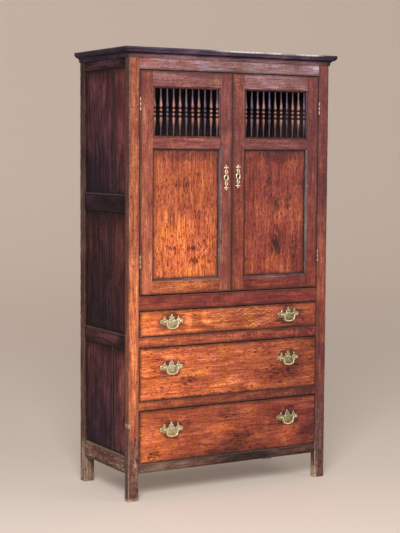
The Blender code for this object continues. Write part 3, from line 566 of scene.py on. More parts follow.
def thicken(mesh: Mesh, faces: list[bmesh.types.BMFace], depth: float) -> None:
    """Extrude faces towards the front.

    Args:
        mesh: Mesh that holds the faces.
        faces: Faces to extrude.
        depth: How far.
    """
    grown = bmesh.ops.extrude_face_region(mesh, geom=faces)["geom"]
    tips = [g for g in grown if isinstance(g, bmesh.types.BMVert)]
    bmesh.ops.translate(mesh, verts=tips, vec=(0.0, -depth, 0.0))


def cut(mesh: Mesh, place: Vector, way: Vector, clear: bool = False) -> list[bmesh.types.BMEdge]:
    """Cut a mesh by a plane.

    Args:
        mesh: Mesh to cut.
        place: Point on the plane.
        way: Way that the plane faces.
        clear: Take away what lies past the plane.

    Returns:
        The new edges.
    """
    parts = mesh.verts[:] + mesh.edges[:] + mesh.faces[:]
    made = bmesh.ops.bisect_plane(mesh, geom=parts, plane_co=place, plane_no=way, clear_outer=clear)
    return [g for g in made["geom_cut"] if isinstance(g, bmesh.types.BMEdge)]


@dataclass(frozen=True)
class Spot:
    """A light or dark patch: its middle and reach across and up, in metres, and what it does to the wood."""

    across: float
    height: float
    wide: float
    tall: float
    tone: float = 1.0
    warm: float = 0.0
    rays: float = 0.0
    pits: float = 0.0
    haze: float = 0.0
    wear: float = 0.0
    ripple: float = 0.0
    axis: int = 0
    core: float = 0.25

    # Waves of the ragged edge in cycles per metre and depth: one round, the others drawn out along the grain
    round_wave: ClassVar[Point] = (15.0, 0.3)
    long_waves: ClassVar[tuple[Point, ...]] = ((50.0, 0.45), (120.0, 0.4))
    drawn_out: ClassVar[float] = 0.3
    end: ClassVar[float] = 1.15

    def share(self, place: Vector, grain: Grain) -> float:
        """Work out how much of the patch shows at a place.

        Args:
            place: Point on the board.
            grain: Way of the board's fibres.

        Returns:
            Share from 0 to 1.
        """
        drawn = place.copy()
        drawn[grain.value] *= self.drawn_out
        ragged = 1.0 + self.round_wave[1] * noise.noise(place * self.round_wave[0])
        for rate, depth in self.long_waves:
            ragged += depth * noise.noise(drawn * rate)
        gap = math.hypot((place[self.axis] - self.across) / self.wide, (place.z - self.height) / self.tall)
        return 1.0 - smooth((gap * ragged - self.core) / (self.end - self.core))


@dataclass
class Board:
    """One sawn and hand-planed oak board with rounded, knocked edges."""

    name: str
    low: Vector
    high: Vector
    grain: Grain
    warm: Point = (0.5, 0.5)
    tone: Point = (1.0, 1.0)
    rays: float = 0.25
    haze: float = 0.0
    pits: float = 0.0
    ripple: float = 0.0
    # Grime with painted shade towards the edges, and wear with painted highlight along them
    grime: float = 0.5
    reach: float = 0.014
    wear: float = 0.3
    wear_reach: float = 0.0035
    foot_wear: float = 0.0
    spots: tuple[Spot, ...] = ()
    dark_side: float = 0.0
    edge: float = 0.0016
    sway: float = 0.0004
    knock: float = 0.0010
    pitch: float = 0.012
    slope: Vector | None = None
    slope_size: float = 0.0067
    lip: float = 0.0
    extra_grime: Field | None = None
    joined: frozenset[tuple[int, int]] = frozenset()
    plain_back: bool = False
    finish: OakFinish = FRONT_OAK
    slot: str = "frame_oak"
    known: dict[tuple[float, ...], list[float]] = field(default_factory=dict, init=False, repr=False)

    # Cuts beside the edges, and the thickness under which a board isn't cut up
    insets: ClassVar[Point] = (0.004, 0.010)
    thin: ClassVar[float] = 0.03
    # Unevenness and dents in cycles per metre, and the height to which feet are rubbed
    sway_rate: ClassVar[float] = 6.0
    dent_rate: ClassVar[float] = 42.0
    foot_height: ClassVar[float] = 0.35
    # Tone and warmth of an unpolished back, and where the dark side of a post starts
    back_look: ClassVar[Point] = (0.62, 0.12)
    side_start: ClassVar[Point] = (0.4985, 0.001)

    @property
    def seed(self) -> int:
        """Return a number made from the name, so that each board has a figure of its own."""
        return sum((i + 3) * ord(c) for i, c in enumerate(self.name)) % 997 + 1

    def mesh(self) -> Mesh:
        """Shape the board.

        Returns:
            The board's mesh in its place.
        """
        mesh = cuboid(self.low, self.high)
        if self.lip:
            front = [e for e in mesh.edges if all(abs(v.co.y - self.low.y) < SAME for v in e.verts)]
            bevel(mesh, front, self.lip, 4)
        if self.slope:
            used = [i for i in range(3) if self.slope[i]]
            corner = {i: (self.high if self.slope[i] > 0 else self.low)[i] for i in used}
            sloped = [
                e for e in mesh.edges
                if all(abs(v.co[i] - corner[i]) < SAME for v in e.verts for i in used)
            ]
            bevel(mesh, sloped, self.slope_size, 1)
        sharp = [e for e in mesh.edges if len(e.link_faces) == 2 and e.calc_face_angle() > 0.6]
        bevel(mesh, sharp, self.edge, 2)
        self.cut_up(mesh)
        self.age(mesh)
        return mesh

    def cut_up(self, mesh: Mesh) -> None:
        """Cut the faces small enough to carry wear and unevenness.

        Args:
            mesh: The board's mesh.
        """
        for axis, way in enumerate((ACROSS, BACK, UP)):
            size = self.high[axis] - self.low[axis]
            if size < self.thin:
                continue
            for inset in self.insets:
                for place in (self.low[axis] + inset, self.high[axis] - inset):
                    cut(mesh, way * place, way)
            long = [e for e in mesh.edges if abs((e.verts[0].co - e.verts[1].co)[axis]) > 1.5 * self.pitch]
            cuts = max(int(size / self.pitch) - 1, 1)
            bmesh.ops.subdivide_edges(mesh, edges=long, cuts=cuts, use_grid_fill=True)

    def age(self, mesh: Mesh) -> None:
        """Make the faces slightly uneven and knock the edges.

        Args:
            mesh: The board's mesh.
        """
        for vert in mesh.verts:
            spot = vert.co.copy()
            drift = noise.noise_vector(spot * self.sway_rate + Vector((self.seed, 0, 0)))
            drift[self.grain.value] = 0.0
            dent = max(0.0, noise.noise(spot * self.dent_rate + Vector((0, self.seed, 0)))) * self.knock
            push = Vector((0.0, 0.0, 0.0))
            for axis in range(3):
                if spot[axis] - self.low[axis] < self.edge:
                    push[axis] = 1.0
                elif self.high[axis] - spot[axis] < self.edge:
                    push[axis] = -1.0
            on_edge = sum(abs(p) for p in push) > 1.5
            vert.co = spot + drift * self.sway + push * (dent if on_edge else 0.0)

    def edge_gap(self, spot: Vector) -> float:
        """Measure how far a point is from the nearest open edge; a sloped edge counts as one.

        Args:
            spot: Point on the board's surface.

        Returns:
            Distance in metres.
        """
        gaps = []
        for axis in range(3):
            ways = {-1: spot[axis] - self.low[axis], 1: self.high[axis] - spot[axis]}
            free = (gap for way, gap in ways.items() if (axis, way) not in self.joined)
            gaps.append(min(free, default=1.0))
        gaps.sort()
        if self.slope and gaps[0] > 0.001:
            return 0.0
        return max(gaps[1], 0.0)

    def along(self, ends: Point, spot: Vector) -> float:
        """Work out what changes from one end of the grain to the other.

        Args:
            ends: Its value at the low and at the high end.
            spot: Point on the board.

        Returns:
            Its value at the point.
        """
        axis = self.grain.value
        share = min(max((spot[axis] - self.low[axis]) / (self.high[axis] - self.low[axis]), 0.0), 1.0)
        return ends[0] + (ends[1] - ends[0]) * share

    def inside(self, spot: Vector) -> bool:
        """Tell whether a point is on the unpolished back."""
        return self.plain_back and spot.y > (self.low.y + self.high.y) / 2

    def shares(self, spot: Vector) -> list[float]:
        """Work out how much each patch shows at a point, once.

        Args:
            spot: Point on the board.

        Returns:
            A share from 0 to 1 for each patch.
        """
        key = spot.to_tuple()
        if key not in self.known:
            front = 0.0 if self.inside(spot) else 1.0
            self.known[key] = [front * patch.share(spot, self.grain) for patch in self.spots]
        return self.known[key]

    def added(self, word: str, spot: Vector) -> float:
        """Return what the patches add to a field at a point."""
        return sum(getattr(patch, word) * share for patch, share in zip(self.spots, self.shares(spot)))

    def plus(self, word: str, spot: Vector) -> float:
        """Return a field of the board with what the patches add."""
        return getattr(self, word) + self.added(word, spot)

    def grime_at(self, spot: Vector) -> float:
        """Return the grime with painted shade: most in the corners."""
        value = self.grime * (1.0 - smooth(self.edge_gap(spot) / self.reach))
        return min(max(value, self.extra_grime(spot) if self.extra_grime else 0.0), 1.0)

    def tone_at(self, spot: Vector) -> float:
        """Work out how light the wood is.

        Args:
            spot: Point on the board.

        Returns:
            Factor on the wood's colour.
        """
        if self.inside(spot):
            return self.back_look[0]
        value = self.along(self.tone, spot)
        for patch, share in zip(self.spots, self.shares(spot)):
            value *= 1.0 + (patch.tone - 1.0) * share
        if self.dark_side:
            outer = max(abs(self.low.x), abs(self.high.x))
            value *= 1.0 - self.dark_side * smooth((abs(spot.x) - outer + self.edge) / self.edge)
        return value

    def warm_at(self, spot: Vector) -> float:
        """Work out how orange the wood is.

        Args:
            spot: Point on the board.

        Returns:
            Share of the warmer colour.
        """
        if self.inside(spot):
            return self.back_look[1]
        start, width = self.side_start
        value = self.along(self.warm, spot) + self.added("warm", spot)
        return value - self.dark_side * smooth((abs(spot.x) - start) / width)

    def wear_at(self, spot: Vector) -> float:
        """Return the wear with painted highlight: along the edges and chamfers, and most at the feet."""
        rubbed = self.wear * (1.0 + self.foot_wear * (1.0 - smooth(spot.z / self.foot_height)))
        return rubbed * (1.0 - smooth(self.edge_gap(spot) / self.wear_reach)) + self.added("wear", spot)

    def make(self, body: str, replaces: Iterable[str] = ()) -> None:
        """Build, paint and hand over the board.

        Args:
            body: CAD body that carries it.
            replaces: CAD nodes that it stands for.
        """
        mesh = self.mesh()
        simple = {word: partial(self.plus, word) for word in ("rays", "ripple", "pits", "haze")}
        Paint(
            self.grain, self.seed, self.tone_at, self.warm_at, grime=self.grime_at, wear=self.wear_at,
            **simple,
        ).apply(mesh)
        hand_over(self.name, mesh, self.finish, body, replaces)


@dataclass
class Case:
    """Posts, rails, panelled sides, back, top, floor, shelf and runners."""

    panel_joints: tuple[float, float, float] = (-0.052, -0.033, -0.065)
    board_gap: float = 0.0012
    lap: float = 0.0006
    lining: float = 0.012
    back_boards: int = 5
    runner_thickness: float = 0.020
    runner_drop: float = 0.0005
    runner_gap: float = 0.001
    guide_height: float = 0.020
    # Darkening on the front posts: painted shade beside the drawers from one height to the other, and dirt at
    # the foot
    post_face: float = 0.4505
    face_fade: float = 0.007
    drawer_span: Point = (0.10, 0.80)
    span_fades: Point = (0.05, 0.03)
    foot_dirt: float = 0.03
    # How strong that darkening is at the foot and beside the drawers
    dirt_shares: Point = (0.5, 0.85)

    def build(self) -> None:
        """Build every fixed board."""
        self.posts()
        self.front_rails()
        for side in OUT:
            self.side_rails(side)
            self.side_panels(side)
            self.linings(side)
        self.flat_boards()

    def dirt(self, spot: Vector) -> float:
        """Work out the darkening on a post: dirt at its foot, and on the left also painted shade beside the
        drawers.

        Args:
            spot: Point on the post.

        Returns:
            Darkening from 0 to 1.
        """
        (low, high), (rise, fall) = self.drawer_span, self.span_fades
        at_foot, at_side = self.dirt_shares
        inner = 1.0 - smooth((abs(spot.x) - self.post_face) / self.face_fade)
        beside = inner * (1.0 - smooth((spot.z - high) / fall)) * smooth((spot.z - low) / rise)
        foot = at_foot * (1.0 - smooth(spot.z / self.foot_dirt))
        return max(foot, at_side * beside if spot.x < 0.0 else 0.0)

    def posts(self) -> None:
        """Build the four posts; the front ones are bright low down, with dark sides and dirty feet."""
        left_spots = (
            Spot(-0.475, 0.02, 0.3, 0.34, 0.92, -0.5, pits=0.9, haze=0.80),
            Spot(-0.475, 0.70, 0.3, 0.40, 1.22, 0.2),
            Spot(-0.475, 0.0, 0.3, 0.10, 0.66),
            Spot(-0.475, 0.0, 0.3, 0.016, wear=0.7),
            Spot(-0.497, 0.325, 0.006, 0.010, wear=0.9),
        )
        right_spots = (
            Spot(0.475, 0.03, 0.3, 0.40, 0.92, -0.3, pits=0.8, haze=0.75),
            Spot(0.475, 0.88, 0.3, 0.30, 1.12, 0.20),
            Spot(0.475, 0.0, 0.3, 0.12, 1.2),
            Spot(0.450, 0.0, 0.016, 0.09, wear=0.9),
        )
        back_spots = tuple(
            Spot(x, 0.0, 0.3, 0.18, 2.1, 0.3, pits=0.8, haze=0.65, wear=0.15) for x in (-0.475, 0.475)
        )
        back = ((0.4, 0.2), (0.85, 0.60), 0.1, back_spots)
        looks = {
            "front_left_post": ((0.95, 0.45), (0.88, 0.62), 0.35, left_spots),
            "front_right_post": ((0.15, 0.05), (0.74, 0.68), 0.12, right_spots),
            "back_left_post": back,
            "back_right_post": back,
        }
        polished = {
            "finish": POST_OAK, "slot": "frame_oak", "wear": 0.07, "foot_wear": 11.0, "dark_side": 0.5,
        }
        scuffed = {"finish": LEG_OAK, "slot": "dark_oak", "wear": 0.12, "foot_wear": 4.5}
        for node, (warm, tone, rays, spots) in looks.items():
            Board(
                node + "_timber", *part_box(node), Grain.Z, warm, tone, rays, pits=-0.4, edge=0.0024,
                knock=0.0018, wear_reach=0.0045, spots=spots, pitch=0.008, extra_grime=self.dirt,
                **(polished if node.startswith("front") else scuffed),
            ).make("case", [node])

    def front_rails(self) -> None:
        """Build the five rails between the front posts."""
        # Pale haze over the top rail: wax bloom and painted sheen
        top_spots = (
            Spot(0.35, 1.85, 0.8, 0.3, haze=0.75),
            Spot(-0.2, 1.85, 0.5, 0.3, 0.94, haze=0.42),
            Spot(0.33, 1.85, 0.012, 0.03, 0.75),
        )
        bottom_spots = (
            Spot(0.08, 0.13, 0.20, 0.10, 0.36, -0.5, haze=0.2),
            Spot(-0.36, 0.13, 0.2, 0.3, haze=0.2, wear=0.08),
        )
        looks = {
            "front_top_rail": ((0.25, 0.05), (0.86, 0.84), 0.1, FRONT_OAK, top_spots),
            "front_waist_rail": ((0.20, 0.10), (0.72, 0.75), 0.10, FRONT_OAK, ()),
            "front_upper_divider": ((0.62, 0.02), (0.90, 0.80), 0.35, FRONT_OAK, ()),
            "front_lower_divider": ((0.60, 0.05), (0.80, 0.48), 0.35, FRONT_OAK, ()),
            "front_bottom_rail": ((0.60, 0.35), (0.92, 0.80), 0.1, LEG_OAK, bottom_spots),
        }
        for node, (warm, tone, rays, finish, spots) in looks.items():
            low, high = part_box(node)
            low.x, high.x = rim("front_left_post", "x", 1) + FIT, rim("front_right_post", "x", -1) - FIT
            Board(
                node + "_timber", low, high, Grain.X, warm, tone, rays, pits=-0.5, wear=0.25, foot_wear=1.5,
                edge=0.0020, grime=0.9, reach=0.011, spots=spots, finish=finish,
                joined=frozenset({(0, -1), (0, 1)}),
            ).make("case", [node])

    @staticmethod
    def depth(side: str) -> Point:
        """Return the places of the faces of the front and the back post of a side that face each other."""
        return rim(f"front_{side}_post", "y", 1), rim(f"back_{side}_post", "y", -1)

    def side_rails(self, side: str) -> None:
        """Build the four rails of one side, with sloped upper edges.

        Args:
            side: left or right.
        """
        front, back = self.depth(side)
        looks = {
            "top_rail": (1.18, 0.25, SIDE_OAK),
            "upper_rail": (0.50, 0.10, SIDE_OAK),
            "lower_rail": (0.86, 0.50, SIDE_OAK),
            "bottom_rail": (1.38, 0.50, LEG_OAK),
        }
        for key, (tone, warm, finish) in looks.items():
            node = f"{side}_side_{key}"
            low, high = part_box(node)
            low.y, high.y = front + FIT, back - FIT
            dark = Spot(-0.16, high.z, 0.06, 0.10, 0.40, -0.3, axis=1)
            scuffed = Spot(0.01, low.z, 0.6, 0.3, haze=0.25, pits=0.6, axis=1)
            Board(
                node + "_timber", low, high, Grain.Y, (warm, warm), (tone, tone), finish=finish,
                slope=None if key == "top_rail" else Vector((OUT[side], 0.0, 1.0)), slot="dark_oak",
                wear=0.25, wear_reach=0.0025, foot_wear=0.8, grime=0.7, reach=0.020,
                spots=(scuffed if key == "bottom_rail" else dark,),
            ).make("case", [node])

    def side_panels(self, side: str) -> None:
        """Build the two boards of each side panel.

        Args:
            side: left or right.
        """
        faces = (rim(f"{side}_side_boards", "x", OUT[side]), rim(f"{side}_side_bottom_rail", "x", -OUT[side]))
        front, back = self.depth(side)
        rails = [f"{side}_side_{key}" for key in ("bottom_rail", "lower_rail", "upper_rail", "top_rail")]
        tones = ((1.12, 0.98), (0.66, 0.58), (0.90, 1.08))
        for number, (below, above) in enumerate(zip(rails, rails[1:])):
            bottom, top = rim(below, "z", 1) + FIT, rim(above, "z", -1) - FIT
            stops = (front + FIT, self.panel_joints[number], back - FIT)
            spots = (
                Spot(0.12, bottom + 0.06, 0.16, 0.16, 0.62, -0.2, pits=0.8, axis=1),
                # Darker under the rail above: painted shadow and dirt
                Spot(0.02, top, 0.5, 0.05, 0.5, axis=1),
                Spot(-0.15, bottom + 0.3, 0.06, 0.5, 1.2, 0.3, axis=1),
            )
            for place, (near, far) in enumerate(zip(stops, stops[1:])):
                Board(
                    f"{side}_side_panel_{number + 1}_{place + 1}",
                    *corners(faces, (near + self.board_gap * place, far), (bottom, top)), Grain.Z,
                    (0.28 - 0.1 * place, 0.58 - 0.1 * place), tones[number], 0.1, finish=SIDE_OAK,
                    slot="dark_oak", grime=0.85, reach=0.022, wear=0.18 if number else 0.35, spots=spots,
                ).make("case")

    def linings(self, side: str) -> None:
        """Build the boards behind the rails of one side, and the drawer runners nailed to them.

        Args:
            side: left or right.
        """
        node, out = f"{side}_side_boards", OUT[side]
        outer = rim(f"{side}_side_bottom_rail", "x", -out) - out * FIT
        inner = outer - out * self.lining
        front, back = self.depth(side)
        middle = (front + back) / 2
        stops = ((front + FIT, middle), (middle + self.board_gap, back - FIT))
        tall = (rim(node, "z", -1), rim(node, "z", 1))
        for number, stop in enumerate(stops):
            Board(
                f"{node}_lining_{number + 1}", *corners((outer, inner), stop, tall), Grain.Z,
                finish=INNER_OAK, slot="dark_oak", pitch=0.03,
            ).make("case", [] if number else [node])
        beds = {
            "top_drawer": "front_upper_divider",
            "middle_drawer": "front_lower_divider",
            "bottom_drawer": "front_bottom_rail",
        }
        length = (front + self.runner_gap, back - self.runner_gap)
        for drawer, rail in beds.items():
            bed = rim(rail, "z", 1) - self.runner_drop
            parts = {
                "runner": (rim(node, "x", -out), (bed - self.runner_thickness, bed)),
                "guide": (rim(f"front_{side}_post", "x", -out), (bed, bed + self.guide_height)),
            }
            for word, (reach, heights) in parts.items():
                Board(
                    f"{side}_{drawer}_{word}", *corners((inner, reach), length, heights), Grain.Y,
                    finish=INNER_OAK, slot="inner_oak", edge=0.001, pitch=0.03,
                ).make("case")

    def flat_boards(self) -> None:
        """Build the back, top, floor and shelf."""
        low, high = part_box("back_boards")
        width = (high.x - low.x) / self.back_boards
        plain = {"finish": INNER_OAK, "slot": "inner_oak", "pitch": 0.03}
        for number in range(self.back_boards):
            start = low.x + width * number
            Board(
                f"back_board_{number + 1}", Vector((start - self.lap if number else start, low.y, low.z)),
                Vector((start + width, high.y, high.z)), Grain.Z, (0.3, 0.3), (0.8 + 0.1 * (number % 3), 0.9),
                grime=0.6, **plain,
            ).make("case", [] if number else ["back_boards"])
        Board(
            "top_planks", *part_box("top_board"), Grain.X, (0.2, 0.2), (0.8, 0.8), finish=SIDE_OAK,
            slot="dark_oak", pitch=0.025,
        ).make("case", ["top_board"])
        inside = rim("front_left_post", "x", 1) + FIT
        for node in ("cupboard_floor", "shelf"):
            low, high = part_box(node)
            high.y = rim("back_boards", "y", -1) - FIT
            low.x, high.x = inside, -inside
            Board(node + "_planks", low, high, Grain.X, edge=0.002, **plain).make("case", [node])


def quarter(start: Point, size: Point, steps: int, hollow: bool) -> list[Point]:
    """Work out a quarter of an ellipse in a moulding.

    Args:
        start: Lower end.
        size: How far it goes outward and upward.
        steps: Number of points.
        hollow: Start upright rather than flat.

    Returns:
        The points after the start.
    """
    points = []
    for i in range(1, steps + 1):
        angle = math.pi / 2 * i / steps
        slow, fast = 1 - math.cos(angle), math.sin(angle)
        out, up = (slow, fast) if hollow else (fast, slow)
        points.append((start[0] + size[0] * out, start[1] + size[1] * up))
    return points


@dataclass
class Cornice:
    """Moulding in three mitred lengths, near black, rubbed pale with a painted highlight along its top edge."""

    foot: Point = (0.004, 0.005)
    cove: Point = (0.015, 0.016)
    step: Point = (0.002, 0.004)
    ovolo: Point = (0.006, 0.011)
    cap: float = 0.007
    steps: int = 7
    pitch: float = 0.02
    sway: float = 0.0005
    seed: int = 31
    sway_rate: float = 11.0
    # Corner of the foot and rounding of the top edge
    arris: float = 0.001
    rounding: Point = (0.0025, 0.0008)
    # Where the top edge is rubbed pale with a painted highlight, how that fades at both ends, and the nick in
    # it
    rubbed: Point = (-0.16, 0.40)
    rub_fades: Point = (0.20, 0.06)
    nick: Point = (0.245, 0.012)
    # Least and added wear with painted highlight, its depth, and the middle, rate and depth of the noise that
    # breaks it up
    rub_shares: Point = (0.05, 1.5)
    rub_depth: float = 0.004
    rub_noise: tuple[float, float, float] = (0.95, 14.0, 1.1)
    low: Vector = field(init=False)
    high: Vector = field(init=False)

    # Painted shade under the step: place in the cove, reach and strength
    dirt_place: ClassVar[float] = 0.9
    dirt_reach: ClassVar[float] = 0.005
    dirt: ClassVar[float] = 0.85
    # Brown of the foot and of the step: strength and fade, and where in the cove the foot's ends
    foot_brown: ClassVar[Point] = (0.85, 0.006)
    step_brown: ClassVar[Point] = (0.7, 0.004)
    brown_end: ClassVar[float] = 0.3
    # Tone of the front, what its ends lose, where that starts and its width; dust with painted sheen; look of
    # the other lengths
    front_tone: ClassVar[tuple[float, ...]] = (1.10, 0.45, 0.36, 0.14)
    front_haze: ClassVar[float] = 0.16
    side_look: ClassVar[dict[str, float]] = {"tone": 0.62, "warm": 0.05, "haze": 0.05}

    def __post_init__(self) -> None:
        """Take the place from the CAD."""
        self.low, self.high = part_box("cornice")

    def profile(self) -> list[Point]:
        """Work out the section.

        Returns:
            Points as (outward, height).
        """
        points = [(FIT, 0.0), (self.foot[0] - self.arris, 0.0), (self.foot[0], self.arris), self.foot]
        points += quarter(points[-1], self.cove, self.steps, True)
        out, rise = points[-1]
        points.append((out + self.step[0], rise))
        points.append((out + self.step[0], rise + self.step[1]))
        points += quarter(points[-1], self.ovolo, self.steps, False)
        out, top = points[-1][0], points[-1][1] + self.cap
        far, near = self.rounding
        return points + [(out, top - far), (out - near, top - near), (out - far, top), (FIT, top)]

    def wear(self, spot: Vector) -> float:
        """Work out the wear and painted highlight of the top edge.

        Args:
            spot: Point on the moulding.

        Returns:
            Share of the pale colour: bare wood and painted highlight.
        """
        (start, stop), (rise, fall) = self.rubbed, self.rub_fades
        rubbed = smooth((spot.x - start) / rise) * (1.0 - smooth((spot.x - stop) / fall))
        nick = 1.0 - smooth(abs(spot.x - self.nick[0]) / self.nick[1])
        least, added = self.rub_shares
        middle, rate, depth = self.rub_noise
        share = least + added * rubbed * (1.0 - nick) * smooth(middle + noise.noise(spot * rate) * depth)
        return share * (1.0 - smooth((self.high.z - spot.z - self.rub_depth) / self.rub_depth))

    def grime(self, spot: Vector) -> float:
        """Return the painted shade under the step."""
        under = abs(spot.z - self.low.z - self.foot[1] - self.cove[1] * self.dirt_place) / self.dirt_reach
        return self.dirt * (1.0 - smooth(under))

    def warm(self, spot: Vector) -> float:
        """Work out how brown the front is.

        Args:
            spot: Point on the moulding.

        Returns:
            Share of the warmer colour: more in the foot and at the step.
        """
        rise = spot.z - self.low.z - self.foot[1]
        cove = 1.0 - smooth((rise - self.cove[1] * self.brown_end) / self.foot_brown[1])
        step = 1.0 - smooth(abs(rise - self.cove[1] - self.step[1]) / self.step_brown[1])
        return max(self.foot_brown[0] * cove, self.step_brown[0] * step)

    def tone(self, spot: Vector) -> float:
        """Return how light the front is: darker at its ends."""
        middle, loss, start, width = self.front_tone
        return middle - loss * smooth((abs(spot.x) - start) / width)

    def build(self) -> None:
        """Sweep the three lengths."""
        reach = self.foot[0] + self.cove[0] + self.step[0] + self.ovolo[0]
        left, right, front = self.low.x + reach, self.high.x - reach, self.low.y + reach
        deep = self.high.y - front
        lengths = {
            "front": ((left, front), ACROSS, -BACK, right - left, 1, 1),
            "left": ((left, self.high.y), -BACK, -ACROSS, deep, 0, 1),
            "right": ((right, front), BACK, ACROSS, deep, 1, 0),
        }
        for number, (word, (start, along, out, length, first, last)) in enumerate(lengths.items()):
            at = Vector((*start, self.low.z))
            mesh = mitred_length(self.profile(), at, along, out, UP, length, (first, last), self.pitch)
            for vert in mesh.verts:
                vert.co += noise.noise_vector(vert.co * self.sway_rate) * self.sway
            front_look = {"tone": self.tone, "warm": self.warm, "haze": self.front_haze}
            seen = self.side_look if number else front_look
            grain = Grain.Y if number else Grain.X
            Paint(grain, self.seed + number, grime=self.grime, wear=self.wear, **seen).apply(mesh)
            stood_for = [] if number else ["cornice"]
            hand_over(f"cornice_{word}", mesh, CORNICE_OAK, "case", stood_for)


def mitred_length(
    profile: list[Point], start: Vector, along: Vector, out: Vector, up: Vector, length: float,
    mitres: tuple[int, int], pitch: float,
) -> Mesh:
    """Extrude a moulding's section and mitre its ends.

    Args:
        profile: Section as (outward, upward) points.
        start: Place of the section's zero point at the first end.
        along: Way of the length.
        out: Way of outward.
        up: Way of upward.
        length: Length at the section's zero point.
        mitres: For each end 1 for a mitre that lengthens the outside, -1 to shorten it, 0 for square.
        pitch: Distance between cuts along the length.

    Returns:
        The closed mesh.
    """
    first, last = mitres
    mesh = bmesh.new()
    ring = [mesh.verts.new(start + out * u + up * v - along * (first * u)) for u, v in profile]
    grown = bmesh.ops.extrude_face_region(mesh, geom=[mesh.faces.new(ring)])["geom"]
    for vert in (g for g in grown if isinstance(g, bmesh.types.BMVert)):
        mate = min(range(len(ring)), key=lambda i: (ring[i].co - vert.co).length)
        vert.co += along * (length + (first + last) * profile[mate][0])
    sides = [e for e in mesh.edges if abs((e.verts[0].co - e.verts[1].co).dot(along)) > length / 2]
    bmesh.ops.subdivide_edges(mesh, edges=sides, cuts=max(int(length / pitch), 1), use_grid_fill=True)
    return mesh


@dataclass(frozen=True)
class Opening:
    """One of a door's two moulded openings: its mould, wood, dust with painted highlight, and grime with
    painted shade.
    """

    word: str
    lower_rail: str
    upper_rail: str
    size: float
    finish: OakFinish
    tone: float
    dust: float
    least_grime: float
    wear: float


